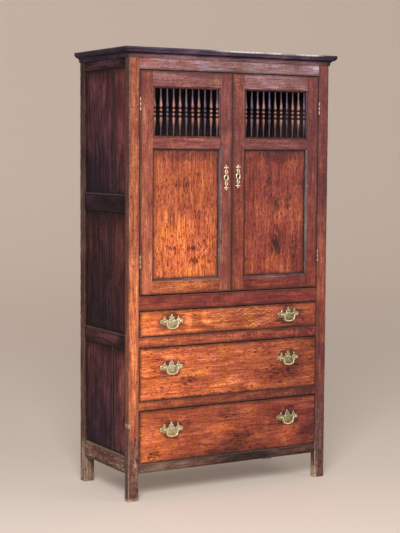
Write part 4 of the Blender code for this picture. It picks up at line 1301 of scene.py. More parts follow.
@dataclass
class Door:
    """Frame, moulded openings, sunk panel and spindles of one door."""

    side: str
    warm: dict[str, Point]
    tone: dict[str, Point]
    rays: dict[str, float]
    spots: dict[str, tuple[Spot, ...]]
    mould: float = 0.008
    mould_pitch: float = 0.012
    mould_seed: int = 53

    # Mould's section from the face inward, in shares of its size
    section: ClassVar[tuple[Point, ...]] = (
        (-0.86, 0.10), (-0.55, 0.22), (-0.25, 0.50), (-0.06, 0.92), (0.0, 1.05),
    )
    openings: ClassVar[tuple[Opening, ...]] = (
        Opening("panel", "bottom_rail", "middle_rail", 0.008, MOULD_OAK, 1.0, 0.65, 0.0, 0.15),
        # The spindle opening's moulds carry painted shade all over
        Opening("spindle", "middle_rail", "top_rail", 0.004, FRONT_OAK, 0.8, 0.30, 0.7, 0.0),
    )
    # Share of a mould's size free of painted shade on the lit moulds and on the shaded ones, then strength and
    # fade of the painted shade deeper in
    clean_depth: ClassVar[Point] = (0.45, 0.1)
    dirt: ClassVar[Point] = (0.95, 0.003)
    # Depth of a mould's wear with painted highlight, its least dust and its rays
    mould_wear: ClassVar[float] = 0.002
    least_dust: ClassVar[float] = 0.05
    mould_rays: ClassVar[float] = 0.1

    def build(self) -> None:
        """Build the whole door."""
        self.frame_timbers()
        self.panel()
        for opening in self.openings:
            self.moulds(opening)
        Spindles(self.side).build()

    def node(self, key: str) -> str:
        """Return the CAD node's name of one of the door's pieces."""
        return f"{self.side}_door_{key}"

    def light(self) -> Point:
        """Find the door's openings between its stiles.

        Returns:
            Their left and right edge.
        """
        stiles = [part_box(self.node(key)) for key in ("hinge_stile", "meeting_stile")]
        left, right = sorted(stiles, key=lambda box: box[0].x)
        return left[1].x, right[0].x

    def frame_timbers(self) -> None:
        """Build stiles and rails, which end where the moulds start."""
        left, right = self.light()
        moulded = {"top_rail": (-1,), "middle_rail": (-1, 1), "bottom_rail": (1,)}
        for key in ("hinge_stile", "meeting_stile", *moulded):
            low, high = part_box(self.node(key))
            if key in moulded:
                joined = {(0, -1), (0, 1), *((2, way) for way in moulded[key])}
                low.x, high.x = left - self.mould + FIT, right + self.mould - FIT
                low.z += self.mould if -1 in moulded[key] else 0.0
                high.z -= self.mould if 1 in moulded[key] else 0.0
            elif low.x < left:
                joined = {(0, 1)}
                high.x = left - self.mould
            else:
                joined = {(0, -1)}
                low.x = right + self.mould
            Board(
                self.node(key) + "_timber", low, high, Grain.X if key in moulded else Grain.Z, self.warm[key],
                self.tone[key], self.rays.get(key, 0.15), pits=-0.4, wear=0.12, grime=0.95, reach=0.011,
                edge=0.0012, pitch=0.010, spots=self.spots.get(key, ()), joined=frozenset(joined),
                plain_back=True,
            ).make(f"{self.side}_door", [self.node(key)])

    def panel(self) -> None:
        """Build the sunk panel, darker towards its edges with grime and painted shade."""
        node = self.node("panel")
        Board(
            node + "_board", *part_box(node), Grain.Z, self.warm["panel"], self.tone["panel"], 0.15, grime=0.95,
            reach=0.022, wear=0.0, sway=0.0012, pitch=0.006, slot="panel_oak", spots=self.spots["panel"],
            plain_back=True, finish=PANEL_OAK,
        ).make(f"{self.side}_door", [node])

    def moulds(self, opening: Opening) -> None:
        """Run the four moulds round an opening; the foot and the right one carry dust with a painted highlight
        and less painted shade.

        Args:
            opening: The opening.
        """
        left, right = self.light()
        face, back = (rim(self.node("hinge_stile"), "y", way) for way in (-1, 1))
        bottom, top = rim(self.node(opening.lower_rail), "z", 1), rim(self.node(opening.upper_rail), "z", -1)
        size, deep, word = opening.size, back - face, opening.word
        profile = [(-self.mould, 0.0), (-size, 0.0), *((size * u, size * v) for u, v in self.section)]
        profile += [(0.0, deep), (-self.mould, deep)]
        wide, tall = right - left, top - bottom
        lengths = {
            "foot": ("bottom_rail", (left, bottom), ACROSS, UP, wide),
            "head": ("middle_rail", (left, top), ACROSS, -UP, wide),
            "left": ("hinge_stile", (left, bottom), UP, ACROSS, tall),
            "right": ("meeting_stile", (right, bottom), UP, -ACROSS, tall),
        }
        for number, (end, (key, (x, z), along, out, length)) in enumerate(lengths.items()):
            mesh = mitred_length(
                profile, Vector((x, face, z)), along, out, BACK, length, (-1, -1), self.mould_pitch
            )
            # The right and foot moulds are painted lit, with pale dust and highlight and painted shade only
            # deeper in
            dull = end in ("right", "foot")
            clean = face + size * self.clean_depth[0 if dull else 1]

            def grime(spot: Vector, start: float = clean) -> float:
                """Return the painted shade, which starts at a depth."""
                return max(opening.least_grime, self.dirt[0] * smooth((spot.y - start) / self.dirt[1]))

            def wear(spot: Vector) -> float:
                """Return the wear with painted highlight, on the outer edge."""
                return opening.wear * (1.0 - smooth((spot.y - face) / self.mould_wear))

            Paint(
                Grain.X if along.x else Grain.Z, self.mould_seed + number * 7,
                self.tone[key][0] * opening.tone, self.warm[key][0], self.mould_rays,
                haze=opening.dust if dull else self.least_dust, grime=grime, wear=wear,
            ).apply(mesh)
            hand_over(
                f"{self.side}_{word}_mould_{end}", mesh, opening.finish, f"{self.side}_door"
            )


@dataclass
class Spindles:
    """Row of turned spindles between the slips in the rails' grooves."""

    side: str
    count: int = 11
    end_inset: float = 0.004
    depth: float = 0.011
    tenon: float = 0.004
    straight: float = 0.014
    foot: float = 0.0034
    vase: float = 0.0074
    neck: float = 0.0034
    bead: float = 0.0074
    bead_height: float = 0.0062
    vase_top: float = 0.0195
    bead_middle: float = 0.0085
    steps: int = 18
    seed: int = 71

    # Swelling of the straight foot, how late the vase swells, and how far under its top that ends
    taper: ClassVar[float] = 1.02
    swell: ClassVar[float] = 1.6
    shoulder: ClassVar[float] = 0.010
    # Share of the vase's and of the neck's radius, and height over the top of the vase
    vase_end: ClassVar[tuple[Point, ...]] = ((0.97, -0.006), (0.86, -0.002))
    neck_line: ClassVar[tuple[Point, ...]] = ((1.2, -0.0005), (1.0, 0.0015), (1.15, 0.0035))
    # How thickness and warmth change along the row
    size_change: ClassVar[float] = 0.05
    size_rate: ClassVar[float] = 2.3
    warm_rates: ClassVar[Point] = (2.1, 1.7)
    # Painted shade behind and in the necks; the end, fade and shift of the lit front; how far from the middle
    # necks reach
    dirt: ClassVar[Point] = (0.95, 0.97)
    clean: ClassVar[Point] = (0.55, 0.8)
    clean_shift: ClassVar[float] = 0.0008
    necks: ClassVar[Point] = (0.020, 0.004)
    # Tone of the shaded necks, the painted highlight that a swelling adds at least and by its warmth, warmth of
    # both, and rays
    neck_tone: ClassVar[float] = 0.55
    fat_tone: ClassVar[Point] = (0.20, 0.35)
    warmth: ClassVar[Point] = (0.1, 0.8)
    rays: ClassVar[float] = 0.1

    def profile(self, length: float) -> list[Point]:
        """Work out the turning, the same both ways.

        Args:
            length: Height of the opening.

        Returns:
            (radius, height) points from the lower to the upper end.
        """
        half = length / 2
        top = half - self.vase_top
        points = [
            (0.0, -self.tenon), (self.foot, -self.tenon), (self.foot, self.tenon),
            (self.foot * self.taper, self.straight),
        ]
        for share in (i / 10 for i in range(1, 11)):
            swell = (self.vase - self.foot) * share**self.swell
            points.append((self.foot + swell, self.straight + (top - self.shoulder - self.straight) * share))
        points += [(self.vase * share, top + rise) for share, rise in self.vase_end]
        points += [(self.neck * share, top + rise) for share, rise in self.neck_line]
        for angle in (math.pi * i / 6 for i in range(7)):
            radius = self.neck + (self.bead - self.neck) * math.sin(angle)
            points.append((radius, half - self.bead_middle - self.bead_height * math.cos(angle)))
        points.append((self.neck, half))
        return points + [(r, length - z) for r, z in reversed(points[:-1])]

    def build(self) -> None:
        """Turn each spindle, with the small differences of hand work."""
        node, door = f"{self.side}_spindle_gallery", f"{self.side}_door"
        low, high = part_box(node)
        bottom, top = rim(door + "_middle_rail", "z", 1), rim(door + "_top_rail", "z", -1)
        axis_y = rim(door + "_hinge_stile", "y", -1) + self.depth
        pitch = (high.x - low.x - 2 * self.end_inset) / (self.count - 1)
        for number in range(self.count):
            x = low.x + self.end_inset + pitch * number
            mesh = bmesh.new()
            turned(mesh, self.profile(top - bottom), UP, ACROSS, Vector((0, 0, 0)), self.steps)
            size = 1.0 + self.size_change * math.sin(number * self.size_rate + len(self.side))
            bmesh.ops.scale(mesh, verts=mesh.verts, vec=(size, size, 1.0))
            if number in (0, self.count - 1):
                way = ACROSS if number else -ACROSS
                edges = cut(mesh, way * (self.end_inset - FIT), way, clear=True)
                bmesh.ops.contextual_create(mesh, geom=edges)
            bmesh.ops.translate(mesh, verts=mesh.verts, vec=(x, axis_y, bottom))
            along, between = self.warm_rates
            warm = 0.5 + 0.5 * math.sin(number * along + between * len(self.side))
            self.paint(mesh, Vector((x, axis_y, (bottom + top) / 2)), size, warm, number)
            hand_over(
                f"{node}_spindle_{number + 1}", mesh, SPINDLE_OAK, door, [] if number else [node]
            )

    def paint(self, mesh: Mesh, middle: Vector, size: float, warm: float, number: int) -> None:
        """Paint a spindle: a painted highlight on its swellings in front, painted shade black in its necks and
        on its back.

        Args:
            mesh: The spindle's mesh in its place.
            middle: Middle of the spindle.
            size: Share of the usual thickness.
            warm: How warm its wood is, from 0 to 1.
            number: Its number in the row.
        """

        def fat(spot: Vector) -> float:
            """Return 1 where the spindle is thickest and 0 at its necks."""
            radius = math.hypot(spot.x - middle.x, spot.y - middle.y) / size
            return smooth((radius - self.neck) / (self.vase - self.neck))

        def grime(spot: Vector) -> float:
            """Work out the painted shade, behind and in the necks.

            Args:
                spot: Point on the spindle.

            Returns:
                Painted shade from 0 to 1.
            """
            turn = math.atan2(spot.x - middle.x + self.clean_shift, middle.y - spot.y)
            behind = self.dirt[0] * smooth((abs(turn) - self.clean[0]) / self.clean[1])
            near = 1.0 - smooth((abs(spot.z - middle.z) - self.necks[0]) / self.necks[1])
            return max(behind, self.dirt[1] * near * (1.0 - fat(spot)))

        least, gain = self.fat_tone
        thin, thick = self.warmth
        Paint(
            Grain.Z, self.seed + number, lambda s: self.neck_tone + (least + gain * warm) * fat(s),
            lambda s: thin * warm + thick * warm * fat(s), self.rays, grime=grime,
        ).apply(mesh)


@dataclass
class Drawer:
    """Front with a rounded rim, box of thin boards, and two handles."""

    name: str
    warm: Point
    tone: Point
    rays: float
    pits: float
    spots: tuple[Spot, ...]
    wall: float = 0.012
    bottom: float = 0.008
    lip: float = 0.005
    # Lifts the shown box clear of the uneven rail
    ease: float = 0.0008

    def build(self) -> None:
        """Build the drawer."""
        node = f"{self.name}_front"
        Board(
            node + "_board", *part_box(node), Grain.X, self.warm, self.tone, self.rays, pits=self.pits,
            reach=0.013, wear=0.2, edge=0.0008, lip=self.lip, pitch=0.006, sway=0.0007, slot="panel_oak",
            grime=0.95, spots=self.spots, plain_back=True, finish=PANEL_OAK,
        ).make(self.name, [node])
        self.box()
        for side in OUT:
            Handle(self.name, side).build()

    def box(self) -> None:
        """Build the two sides, the back and the bottom."""
        node = f"{self.name}_box"
        low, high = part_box(node)
        low.z += self.ease
        left, right, rear = low.x + self.wall, high.x - self.wall, high.y - self.wall
        length, height, width = (low.y, high.y), (low.z, high.z), (left + FIT, right - FIT)
        parts = {
            "left_wall": ((low.x, left), length, height, Grain.Y),
            "right_wall": ((right, high.x), length, height, Grain.Y),
            "rear_wall": (width, (rear, high.y), height, Grain.X),
            "bottom_board": (width, (low.y, rear - FIT), (low.z, low.z + self.bottom), Grain.X),
        }
        for number, (word, (*limits, grain)) in enumerate(parts.items()):
            Board(
                f"{self.name}_{word}", *corners(*limits), grain, finish=INNER_OAK, slot="inner_oak",
                pitch=0.03, edge=0.001,
            ).make(self.name, [] if number else [node])


def arc(start: Point, via: Point, end: Point, steps: int) -> list[Point]:
    """Work out points on the circle through three points.

    Args:
        start: First point.
        via: Point on the way.
        end: Last point.
        steps: Number of points to return.

    Returns:
        The points after the first.
    """
    a, b, c = (Vector(p) for p in (start, via, end))
    spread = 2 * (a.x * (b.y - c.y) + b.x * (c.y - a.y) + c.x * (a.y - b.y))
    squares = [p.length_squared for p in (a, b, c)]
    hub = Vector((
        (squares[0] * (b.y - c.y) + squares[1] * (c.y - a.y) + squares[2] * (a.y - b.y)) / spread,
        (squares[0] * (c.x - b.x) + squares[1] * (a.x - c.x) + squares[2] * (b.x - a.x)) / spread,
    ))
    angles = [math.atan2(p.y - hub.y, p.x - hub.x) for p in (a, b, c)]
    turn = math.remainder(angles[1] - angles[0], math.tau) + math.remainder(angles[2] - angles[1], math.tau)
    size = (a - hub).length
    ways = [angles[0] + turn * i / steps for i in range(1, steps + 1)]
    return [(hub.x + size * math.cos(w), hub.y + size * math.sin(w)) for w in ways]


def turned(mesh: Mesh, profile: list[Point], axis: Vector, out: Vector, at: Vector, steps: int = 16) -> None:
    """Add a turned shape to a mesh.

    Args:
        mesh: Mesh that takes the shape.
        profile: (radius, place along the axis) points.
        axis: Way of the axis.
        out: Way of the first radius.
        at: Zero point of the axis.
        steps: Facets round the axis.
    """
    verts = [mesh.verts.new(at + out * r + axis * z) for r, z in profile]
    edges = [mesh.edges.new(pair) for pair in zip(verts, verts[1:])]
    bmesh.ops.spin(mesh, geom=verts + edges, cent=at, axis=axis, angle=math.tau, steps=steps, use_merge=True)
    bmesh.ops.remove_doubles(mesh, verts=mesh.verts, dist=SAME)


def rub(mesh: Mesh, amount: Field) -> None:
    """Write how much a metal piece is lightened: rubbed bright, and on the handle plates also painted light.

    Args:
        mesh: The piece's mesh.
        amount: Lightening at each of its points.
    """
    layer = mesh.verts.layers.float.get("rub") or mesh.verts.layers.float.new("rub")
    for vert in mesh.verts:
        vert[layer] = amount(vert.co)


@dataclass
class Handle:
    """Bat-wing plate with two eyed posts, and the bail that swings in them."""

    drawer: str
    side: str
    thickness: float = 0.0016
    filed: float = 0.0009
    spread: float = 0.076
    rise: float = 0.004
    pivot: float = 0.011
    bore: float = 0.0021
    pin: float = 0.0016
    pin_end: float = 0.0038
    bend: float = 0.006
    rod: float = 0.0026
    drop: float = 0.030
    arm: float = 0.025
    arc_steps: int = 5

    # How light the plates' faces are on each side, painted light that is brighter on the left, how much their
    # posts are rubbed, and what the bail's back loses
    polish: ClassVar[dict[str, float]] = {"left": 0.15, "right": -0.25}
    post_polish: ClassVar[float] = 0.8
    back_loss: ClassVar[float] = 0.6
    # Half of the plate's edge as arcs from the top middle: point on the arc, end of the arc
    top: ClassVar[Point] = (0.0, 0.035)
    arcs: ClassVar[tuple[tuple[Point, Point], ...]] = (
        ((0.0038, 0.0330), (0.0055, 0.0285)),
        ((0.0048, 0.0260), (0.0065, 0.0240)),
        ((0.0095, 0.0236), (0.0125, 0.0210)),
        ((0.0120, 0.0182), (0.0100, 0.0160)),
        ((0.0145, 0.0105), (0.0200, 0.0090)),
        ((0.0265, 0.0125), (0.0295, 0.0200)),
        ((0.0307, 0.0250), (0.0335, 0.0280)),
        ((0.0350, 0.0220), (0.0380, 0.0165)),
        ((0.0415, 0.0132), (0.0460, 0.0125)),
        ((0.0538, 0.0095), (0.0565, 0.0030)),
        ((0.0540, -0.0045), (0.0475, -0.0065)),
        ((0.0435, -0.0050), (0.0400, -0.0075)),
        ((0.0370, -0.0110), (0.0325, -0.0105)),
        ((0.0285, -0.0108), (0.0265, -0.0145)),
        ((0.0180, -0.0265), (0.0, -0.0310)),
    )
    # Radius and distance from the plate's back of the posts' turning, and half of the eyes' turning
    stem: ClassVar[tuple[Point, ...]] = (
        (0.0, 0.001), (0.0058, 0.001), (0.0058, 0.0026), (0.0042, 0.0038), (0.0034, 0.0056), (0.0038, 0.0076),
        (0.0, 0.0078),
    )
    eye: ClassVar[tuple[Point, ...]] = ((0.0034, -0.0046), (0.0046, -0.0034))
    eye_size: ClassVar[Point] = (0.0052, 0.0042)

    def build(self) -> None:
        """Build plate and bail."""
        low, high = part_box(f"{self.drawer}_{self.side}_plate")
        middle = Vector(((low.x + high.x) / 2, high.y, high.z - self.top[1]))
        self.plate(middle)
        self.bail(middle + Vector((0.0, -self.pivot, self.rise)))

    def plate(self, middle: Vector) -> None:
        """Build the plate with a filed edge and two eyed posts.

        Args:
            middle: Middle of the plate's back.
        """
        half = [self.top]
        for via, end in self.arcs:
            half += arc(half[-1], via, end, self.arc_steps)
        outline = half + [(-x, z) for x, z in reversed(half[1:-1])]
        mesh = bmesh.new()
        thicken(mesh, [mesh.faces.new([mesh.verts.new((x, 0.0, z)) for x, z in outline])], self.thickness)
        front = [e for e in mesh.edges if all(v.co.y < -self.thickness / 2 for v in e.verts)]
        bevel(mesh, front, self.filed, 2)
        # Left handles lighter and right handles darker: painted light
        flat = self.polish[self.side]
        rub(mesh, lambda s: flat if s.y < -self.thickness + 1e-5 else 1.0)
        wide, end = self.eye_size
        back = [(r, -z) for r, z in reversed(self.eye)]
        eye = [(self.bore, -end), *self.eye, (wide, 0.0), *back, (self.bore, end), (self.bore, -end)]
        for way in OUT.values():
            foot = Vector((way * self.spread / 2, 0.0, self.rise))
            turned(mesh, self.stem, -BACK, ACROSS, foot)
            turned(mesh, eye, ACROSS, UP, foot - BACK * self.pivot)
        layer = mesh.verts.layers.float["rub"]
        for vert in mesh.verts:
            if vert.co.y < -2 * self.thickness:
                vert[layer] = self.post_polish
        bmesh.ops.translate(mesh, verts=mesh.verts, vec=middle)
        node = f"{self.drawer}_{self.side}_plate"
        hand_over(node + "_cast", mesh, BRASS, self.drawer, [node])

    def bail(self, pivot: Vector) -> None:
        """Build the bail as a bent rod, thickest at its foot.

        Args:
            pivot: Middle of the line through its two pins.
        """
        pin, bend = self.spread / 2 + self.pin_end, self.spread / 2 - self.bend
        neck, slim = bend - 2 * self.rod, self.pin / self.rod
        drop, arm = self.drop, self.arm
        # Each point with its two handles, across and up, and its share of the rod's thickness
        half = [
            ((pin, 0.0), (pin + self.rod, 0.0), (pin - self.rod, 0.0), slim),
            ((bend, 0.0), (bend + self.rod, 0.0), (bend - self.rod, 0.0), slim),
            ((neck, -0.16 * drop), (neck, -0.04 * drop), (neck, -0.30 * drop), 1.0),
            ((arm, -0.55 * drop), (arm, -0.42 * drop), (arm, -0.80 * drop), 1.1),
        ]
        foot = ((0.0, -drop), (0.55 * arm, -drop), (-0.55 * arm, -drop), 1.3)
        other = [((-a[0], a[1]), (-c[0], c[1]), (-b[0], b[1]), size) for a, b, c, size in reversed(half)]
        curve = bpy.data.curves.new("bail_rod", "CURVE")
        curve.dimensions = "3D"
        curve.bevel_depth = self.rod
        curve.bevel_resolution = 3
        curve.resolution_u = curve.render_resolution_u = 8
        curve.use_fill_caps = True
        spline = curve.splines.new("BEZIER")
        points = [*half, foot, *other]
        spline.bezier_points.add(len(points) - 1)
        for point, (at, before, after, size) in zip(spline.bezier_points, points):
            point.handle_left_type = point.handle_right_type = "FREE"
            point.co = (at[0], 0.0, at[1])
            point.handle_left = (before[0], 0.0, before[1])
            point.handle_right = (after[0], 0.0, after[1])
            point.radius = size
        rod = bpy.data.objects.new("bail_rod", curve)
        swept = bpy.data.meshes.new_from_object(rod)
        mesh = bmesh.new()
        mesh.from_mesh(swept)
        bpy.data.objects.remove(rod)
        bpy.data.curves.remove(curve)
        bpy.data.meshes.remove(swept)
        bmesh.ops.remove_doubles(mesh, verts=mesh.verts, dist=SAME)
        rub(mesh, lambda s: 1.0 - self.back_loss * smooth(s.y / self.rod))
        bmesh.ops.translate(mesh, verts=mesh.verts, vec=pivot)
        node = f"{self.drawer}_{self.side}_bail"
        hand_over(node + "_rod", mesh, BRASS, node, [node])


@dataclass
class Escutcheon:
    """Pierced key plate: a chain of rings with a small leaf at each end."""

    side: str
    across: float
    bottom: float
    top: float
    thickness: float = 0.0020
    gap: float = 0.0002
    ring_steps: int = 20
    lobe_steps: int = 12
    polish: float = 0.7

    # Middle as a share of half the height, half width and height, half width and height of the hole
    rings: ClassVar[tuple[tuple[float, Point, Point], ...]] = (
        (0.46, (0.0078, 0.0105), (0.0030, 0.0050)),
        (0.0, (0.0122, 0.0155), (0.0062, 0.0098)),
        (-0.46, (0.0078, 0.0105), (0.0030, 0.0050)),
    )
    # Middle as a share of half the height, offset across, radius
    lobes: ClassVar[tuple[tuple[float, float, float], ...]] = (
        (0.93, 0.0, 0.0040), (0.80, 0.0080, 0.0036), (0.80, -0.0080, 0.0036), (0.78, 0.0, 0.0052),
        (0.68, 0.0, 0.0030), (0.27, 0.0, 0.0040),
    )

    def build(self) -> None:
        """Build the plate on the meeting stile."""
        face = rim(f"{self.side}_door_meeting_stile", "y", -1) - self.gap
        half = (self.top - self.bottom) / 2
        flat = Matrix.Rotation(math.pi / 2, 4, "X")
        mesh = bmesh.new()
        for share, *ovals in self.rings:
            edges: list[bmesh.types.BMEdge] = []
            for wide, tall in ovals:
                place = Matrix.Translation(UP * share * half) @ Matrix.Diagonal((wide, 1.0, tall, 1.0)) @ flat
                made = bmesh.ops.create_circle(mesh, segments=self.ring_steps, radius=1.0, matrix=place)
                edges += dict.fromkeys(e for v in made["verts"] for e in v.link_edges)
            bmesh.ops.bridge_loops(mesh, edges=edges)
        for share, across, size in self.lobes:
            for way in (1.0, -1.0):
                place = Matrix.Translation((across, 0.0, way * share * half)) @ flat
                bmesh.ops.create_circle(
                    mesh, cap_ends=True, segments=self.lobe_steps, radius=size, matrix=place
                )
        thicken(mesh, mesh.faces[:], self.thickness)
        rub(mesh, lambda s: self.polish)
        bmesh.ops.translate(mesh, verts=mesh.verts, vec=(self.across, face, (self.bottom + self.top) / 2))
        hand_over(f"{self.side}_escutcheon", mesh, BRASS, f"{self.side}_door")


@dataclass
class Hinge:
    """Butt hinge: knuckled barrel with pin ends and a leaf on the post and on the door."""

    side: str
    end: str
    knuckles: int = 3
    groove: float = 0.0010
    dull: float = 0.005
    leaf: float = 0.0012
    leaf_width: float = 0.024
    leaf_inset: float = 0.0012
    filed: float = 0.0003
    radius: float = 0.004
    joint_gap: float = 0.002
    facets: int = 18
    # Share of the dull ends that stays dull, how dull, and where the door's leaf starts and stops
    dull_share: float = 0.9
    dull_rub: float = -1.2
    leaf_start: float = 0.8
    leaf_short: float = 0.001

    # Radius of the pin's head and how far it stands out, from the tip
    head: ClassVar[tuple[Point, ...]] = ((0.0, 0.0015), (0.0016, 0.0012), (0.0022, 0.0))

    def build(self) -> None:
        """Build barrel and leaves."""
        node, out = f"{self.side}_{self.end}_hinge", OUT[self.side]
        stile, post = f"{self.side}_door_hinge_stile", f"front_{self.side}_post"
        low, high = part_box(node)
        at = Vector((rim(stile, "x", out) + out * self.joint_gap, low.y + self.radius, low.z))
        length = high.z - low.z
        knuckle = length / self.knuckles
        slim = self.radius - self.groove
        profile = [(r, -z) for r, z in self.head]
        for number in range(self.knuckles):
            start, stop = number * knuckle, (number + 1) * knuckle
            heights = (start + self.groove, start + self.dull, stop - self.dull, stop - self.groove)
            profile += [(slim, start), *((self.radius, z) for z in heights), (slim, stop)]
        profile += [(r, length + z) for r, z in reversed(self.head)]
        mesh = bmesh.new()
        turned(mesh, profile, UP, ACROSS, at, self.facets)
        ends = self.dull * self.dull_share
        rub(mesh, lambda s: 1.0 if ends < (s.z - low.z) % knuckle < knuckle - ends else self.dull_rub)
        hand_over(f"{node}_barrel", mesh, IRON, "case", [node])
        heights = (low.z + self.leaf_inset, high.z - self.leaf_inset)
        deep = (at.y, rim(post, "y", -1) + self.leaf_width)
        self.plate(f"{node}_post_leaf", rim(post, "x", -out) - out * FIT, -out, deep, heights, "case")
        deep = (at.y + self.radius * self.leaf_start, rim(stile, "y", 1) - self.leaf_short)
        body = f"{self.side}_door"
        self.plate(f"{node}_door_leaf", rim(stile, "x", out) + out * 0.0001, out, deep, heights, body)

    def plate(self, name: str, face: float, way: float, deep: Point, heights: Point, body: str) -> None:
        """Build one leaf as a thin plate with filed edges.

        Args:
            name: Name of the leaf.
            face: Place across of the side that lies on the wood.
            way: Way of its thickness, -1 or 1.
            deep: Its front and back edge.
            heights: Its lower and upper end.
            body: CAD body that carries it.
        """
        mesh = cuboid(*corners((face, face + way * self.leaf), deep, heights))
        bevel(mesh, mesh.edges[:], self.filed, 1)
        hand_over(name, mesh, IRON, body)


@dataclass
class Studio:
    """Camera at the photograph's angle, pale floor and soft light."""

    eye: tuple[float, float, float] = (-3.1192, -5.3118, 1.4615)
    yaw: float = math.radians(30.187)
    pitch: float = math.radians(-4.638)
    roll: float = math.radians(0.341)
    lens: float = 93.49
    sensor: float = 36.0
    floor_colour: str = "#efe2d6"
    floor_roughness: float = 0.8
    glow_colour: str = "#f0d8c8"
    air_colour: str = "#f2ebe4"
    # How bright the floor shows near the part and far off, and the air as light and as seen
    glow: Point = (0.18, 0.30)
    glow_span: Point = (1.0, 10.0)
    air: Point = (0.25, 0.5)
    # Half width of the floor, where its backdrop starts to rise, the curve's radius and the top
    reach: float = 14.0
    bend_start: float = 8.0
    bend: float = 2.0
    bend_steps: int = 12
    top: float = 9.0
    aim: Vector = field(default_factory=lambda: Vector((0.0, 0.0, 0.95)))

    def build(self) -> None:
        """Add camera, floor, lamps and world."""
        self.camera()
        self.floor()
        self.light("key_light", Vector((-2.6, -3.9, 3.1)), 1.8, 185.0)
        self.light("fill_light", Vector((3.2, -4.2, 2.4)), 3.0, 35.0)
        world = bpy.data.worlds.new("studio")
        world.use_nodes = True
        shade = world.node_tree.nodes["Background"]
        shade.inputs["Color"].default_value = linear(self.air_colour)
        nodes = Nodes(world.node_tree)
        world.node_tree.links.new(nodes.remap(self.seen(nodes), WHOLE, self.air), shade.inputs["Strength"])
        bpy.context.scene.world = world
        bpy.context.scene.view_settings.view_transform = "Standard"

    @staticmethod
    def seen(nodes: Nodes) -> Socket:
        """Tell rays that show a surface, straight or mirrored, from those that light the wood.

        Args:
            nodes: Adds to the tree.

        Returns:
            Socket with 1 for a ray of the camera, of a reflection or through glass, and 0 for others.
        """
        path = add_node(nodes.tree, "ShaderNodeLightPath", {})
        shown = path.outputs["Is Camera Ray"]
        for way in ("Is Glossy Ray", "Is Transmission Ray"):
            shown = nodes.math("MAXIMUM", shown, path.outputs[way])
        return shown

    def camera(self) -> None:
        """Set the camera that was fitted to the photograph."""
        data = bpy.data.cameras.new("photo_camera")
        data.lens = self.lens
        data.sensor_width = self.sensor
        level = math.cos(self.pitch)
        ahead = Vector((math.sin(self.yaw) * level, math.cos(self.yaw) * level, math.sin(self.pitch)))
        right = Vector((math.cos(self.yaw), -math.sin(self.yaw), 0.0))
        up = right.cross(ahead)
        turned_right = right * math.cos(self.roll) + up * math.sin(self.roll)
        turned_up = up * math.cos(self.roll) - right * math.sin(self.roll)
        made = bpy.data.objects.new("photo_camera", data)
        matrix = Matrix((turned_right, turned_up, -ahead)).transposed().to_4x4()
        matrix.translation = self.eye
        made.matrix_world = matrix
        bpy.context.scene.collection.objects.link(made)
        bpy.context.scene.camera = made

    def floor(self) -> None:
        """Add a floor that curves up into a backdrop."""
        mesh = bmesh.new()
        points = [(-self.reach, 0.0), (self.bend_start, 0.0)]
        points += quarter(points[-1], (self.bend, self.bend), self.bend_steps, False)
        points.append((self.bend_start + self.bend, self.top))
        line = [mesh.verts.new((-self.reach, y, z)) for y, z in points]
        edges = [mesh.edges.new(pair) for pair in zip(line, line[1:])]
        grown = bmesh.ops.extrude_edge_only(mesh, edges=edges)["geom"]
        tips = [g for g in grown if isinstance(g, bmesh.types.BMVert)]
        bmesh.ops.translate(mesh, verts=tips, vec=(2 * self.reach, 0.0, 0.0))
        add_object("studio_floor", mesh, self.floor_paint())

    def floor_paint(self) -> bpy.types.Material:
        """Mix the floor's paint, which the camera and polished metal see paler, most so far off.

        Returns:
            The material; the wood gets no more light from it.
        """
        paint = bpy.data.materials.new("matt_floor_paint")
        paint.use_nodes = True
        nodes = Nodes(paint.node_tree)
        shader = paint.node_tree.nodes["Principled BSDF"]
        shader.inputs["Base Color"].default_value = linear(self.floor_colour)
        shader.inputs["Roughness"].default_value = self.floor_roughness
        shader.inputs["Emission Color"].default_value = linear(self.glow_colour)
        glow = nodes.remap(nodes.part(nodes.place(), 1), self.glow_span, self.glow)
        lift = nodes.times(self.seen(nodes), glow)
        paint.node_tree.links.new(lift, shader.inputs["Emission Strength"])
        return paint

    def light(self, name: str, spot: Vector, size: float, power: float) -> None:
        """Add a soft square lamp aimed at the middle of the cupboard.

        Args:
            name: Name of the lamp.
            spot: Its place.
            size: Its edge in metres.
            power: Its power in watts.
        """
        data = bpy.data.lights.new(name, "AREA")
        data.shape = "SQUARE"
        data.size = size
        data.energy = power
        made = bpy.data.objects.new(name, data)
        made.location = spot
        made.rotation_euler = (self.aim - spot).to_track_quat("-Z", "Y").to_euler()
        bpy.context.scene.collection.objects.link(made)


def dust_and_highlight_strip(across: float, height: float, wide: float, tall: float) -> Spot:
    """Return a strip of grey dust and painted highlight beside a lit moulding, with its middle and reach in
    metres.
    """
    return Spot(across, height, wide, tall, 0.96, -0.1, haze=0.42, core=0.55)


def bloom_and_sheen(across: float, height: float, tall: float, haze: float, wide: float = 0.3) -> Spot:
    """Return a broad bloom on the wax with a painted sheen."""
    return Spot(across, height, wide, tall, haze=haze)


def pitted(across: float, height: float, wide: float, tall: float, tone: float, pits: float) -> Spot:
    """Return a dark patch with open pores."""
    return Spot(across, height, wide, tall, tone, pits=pits)


def stained(across: float, height: float, wide: float, tall: float, tone: float, pits: float) -> Spot:
    """Return a dark, redder patch with open pores."""
    return Spot(across, height, wide, tall, tone, -0.1, pits=pits)


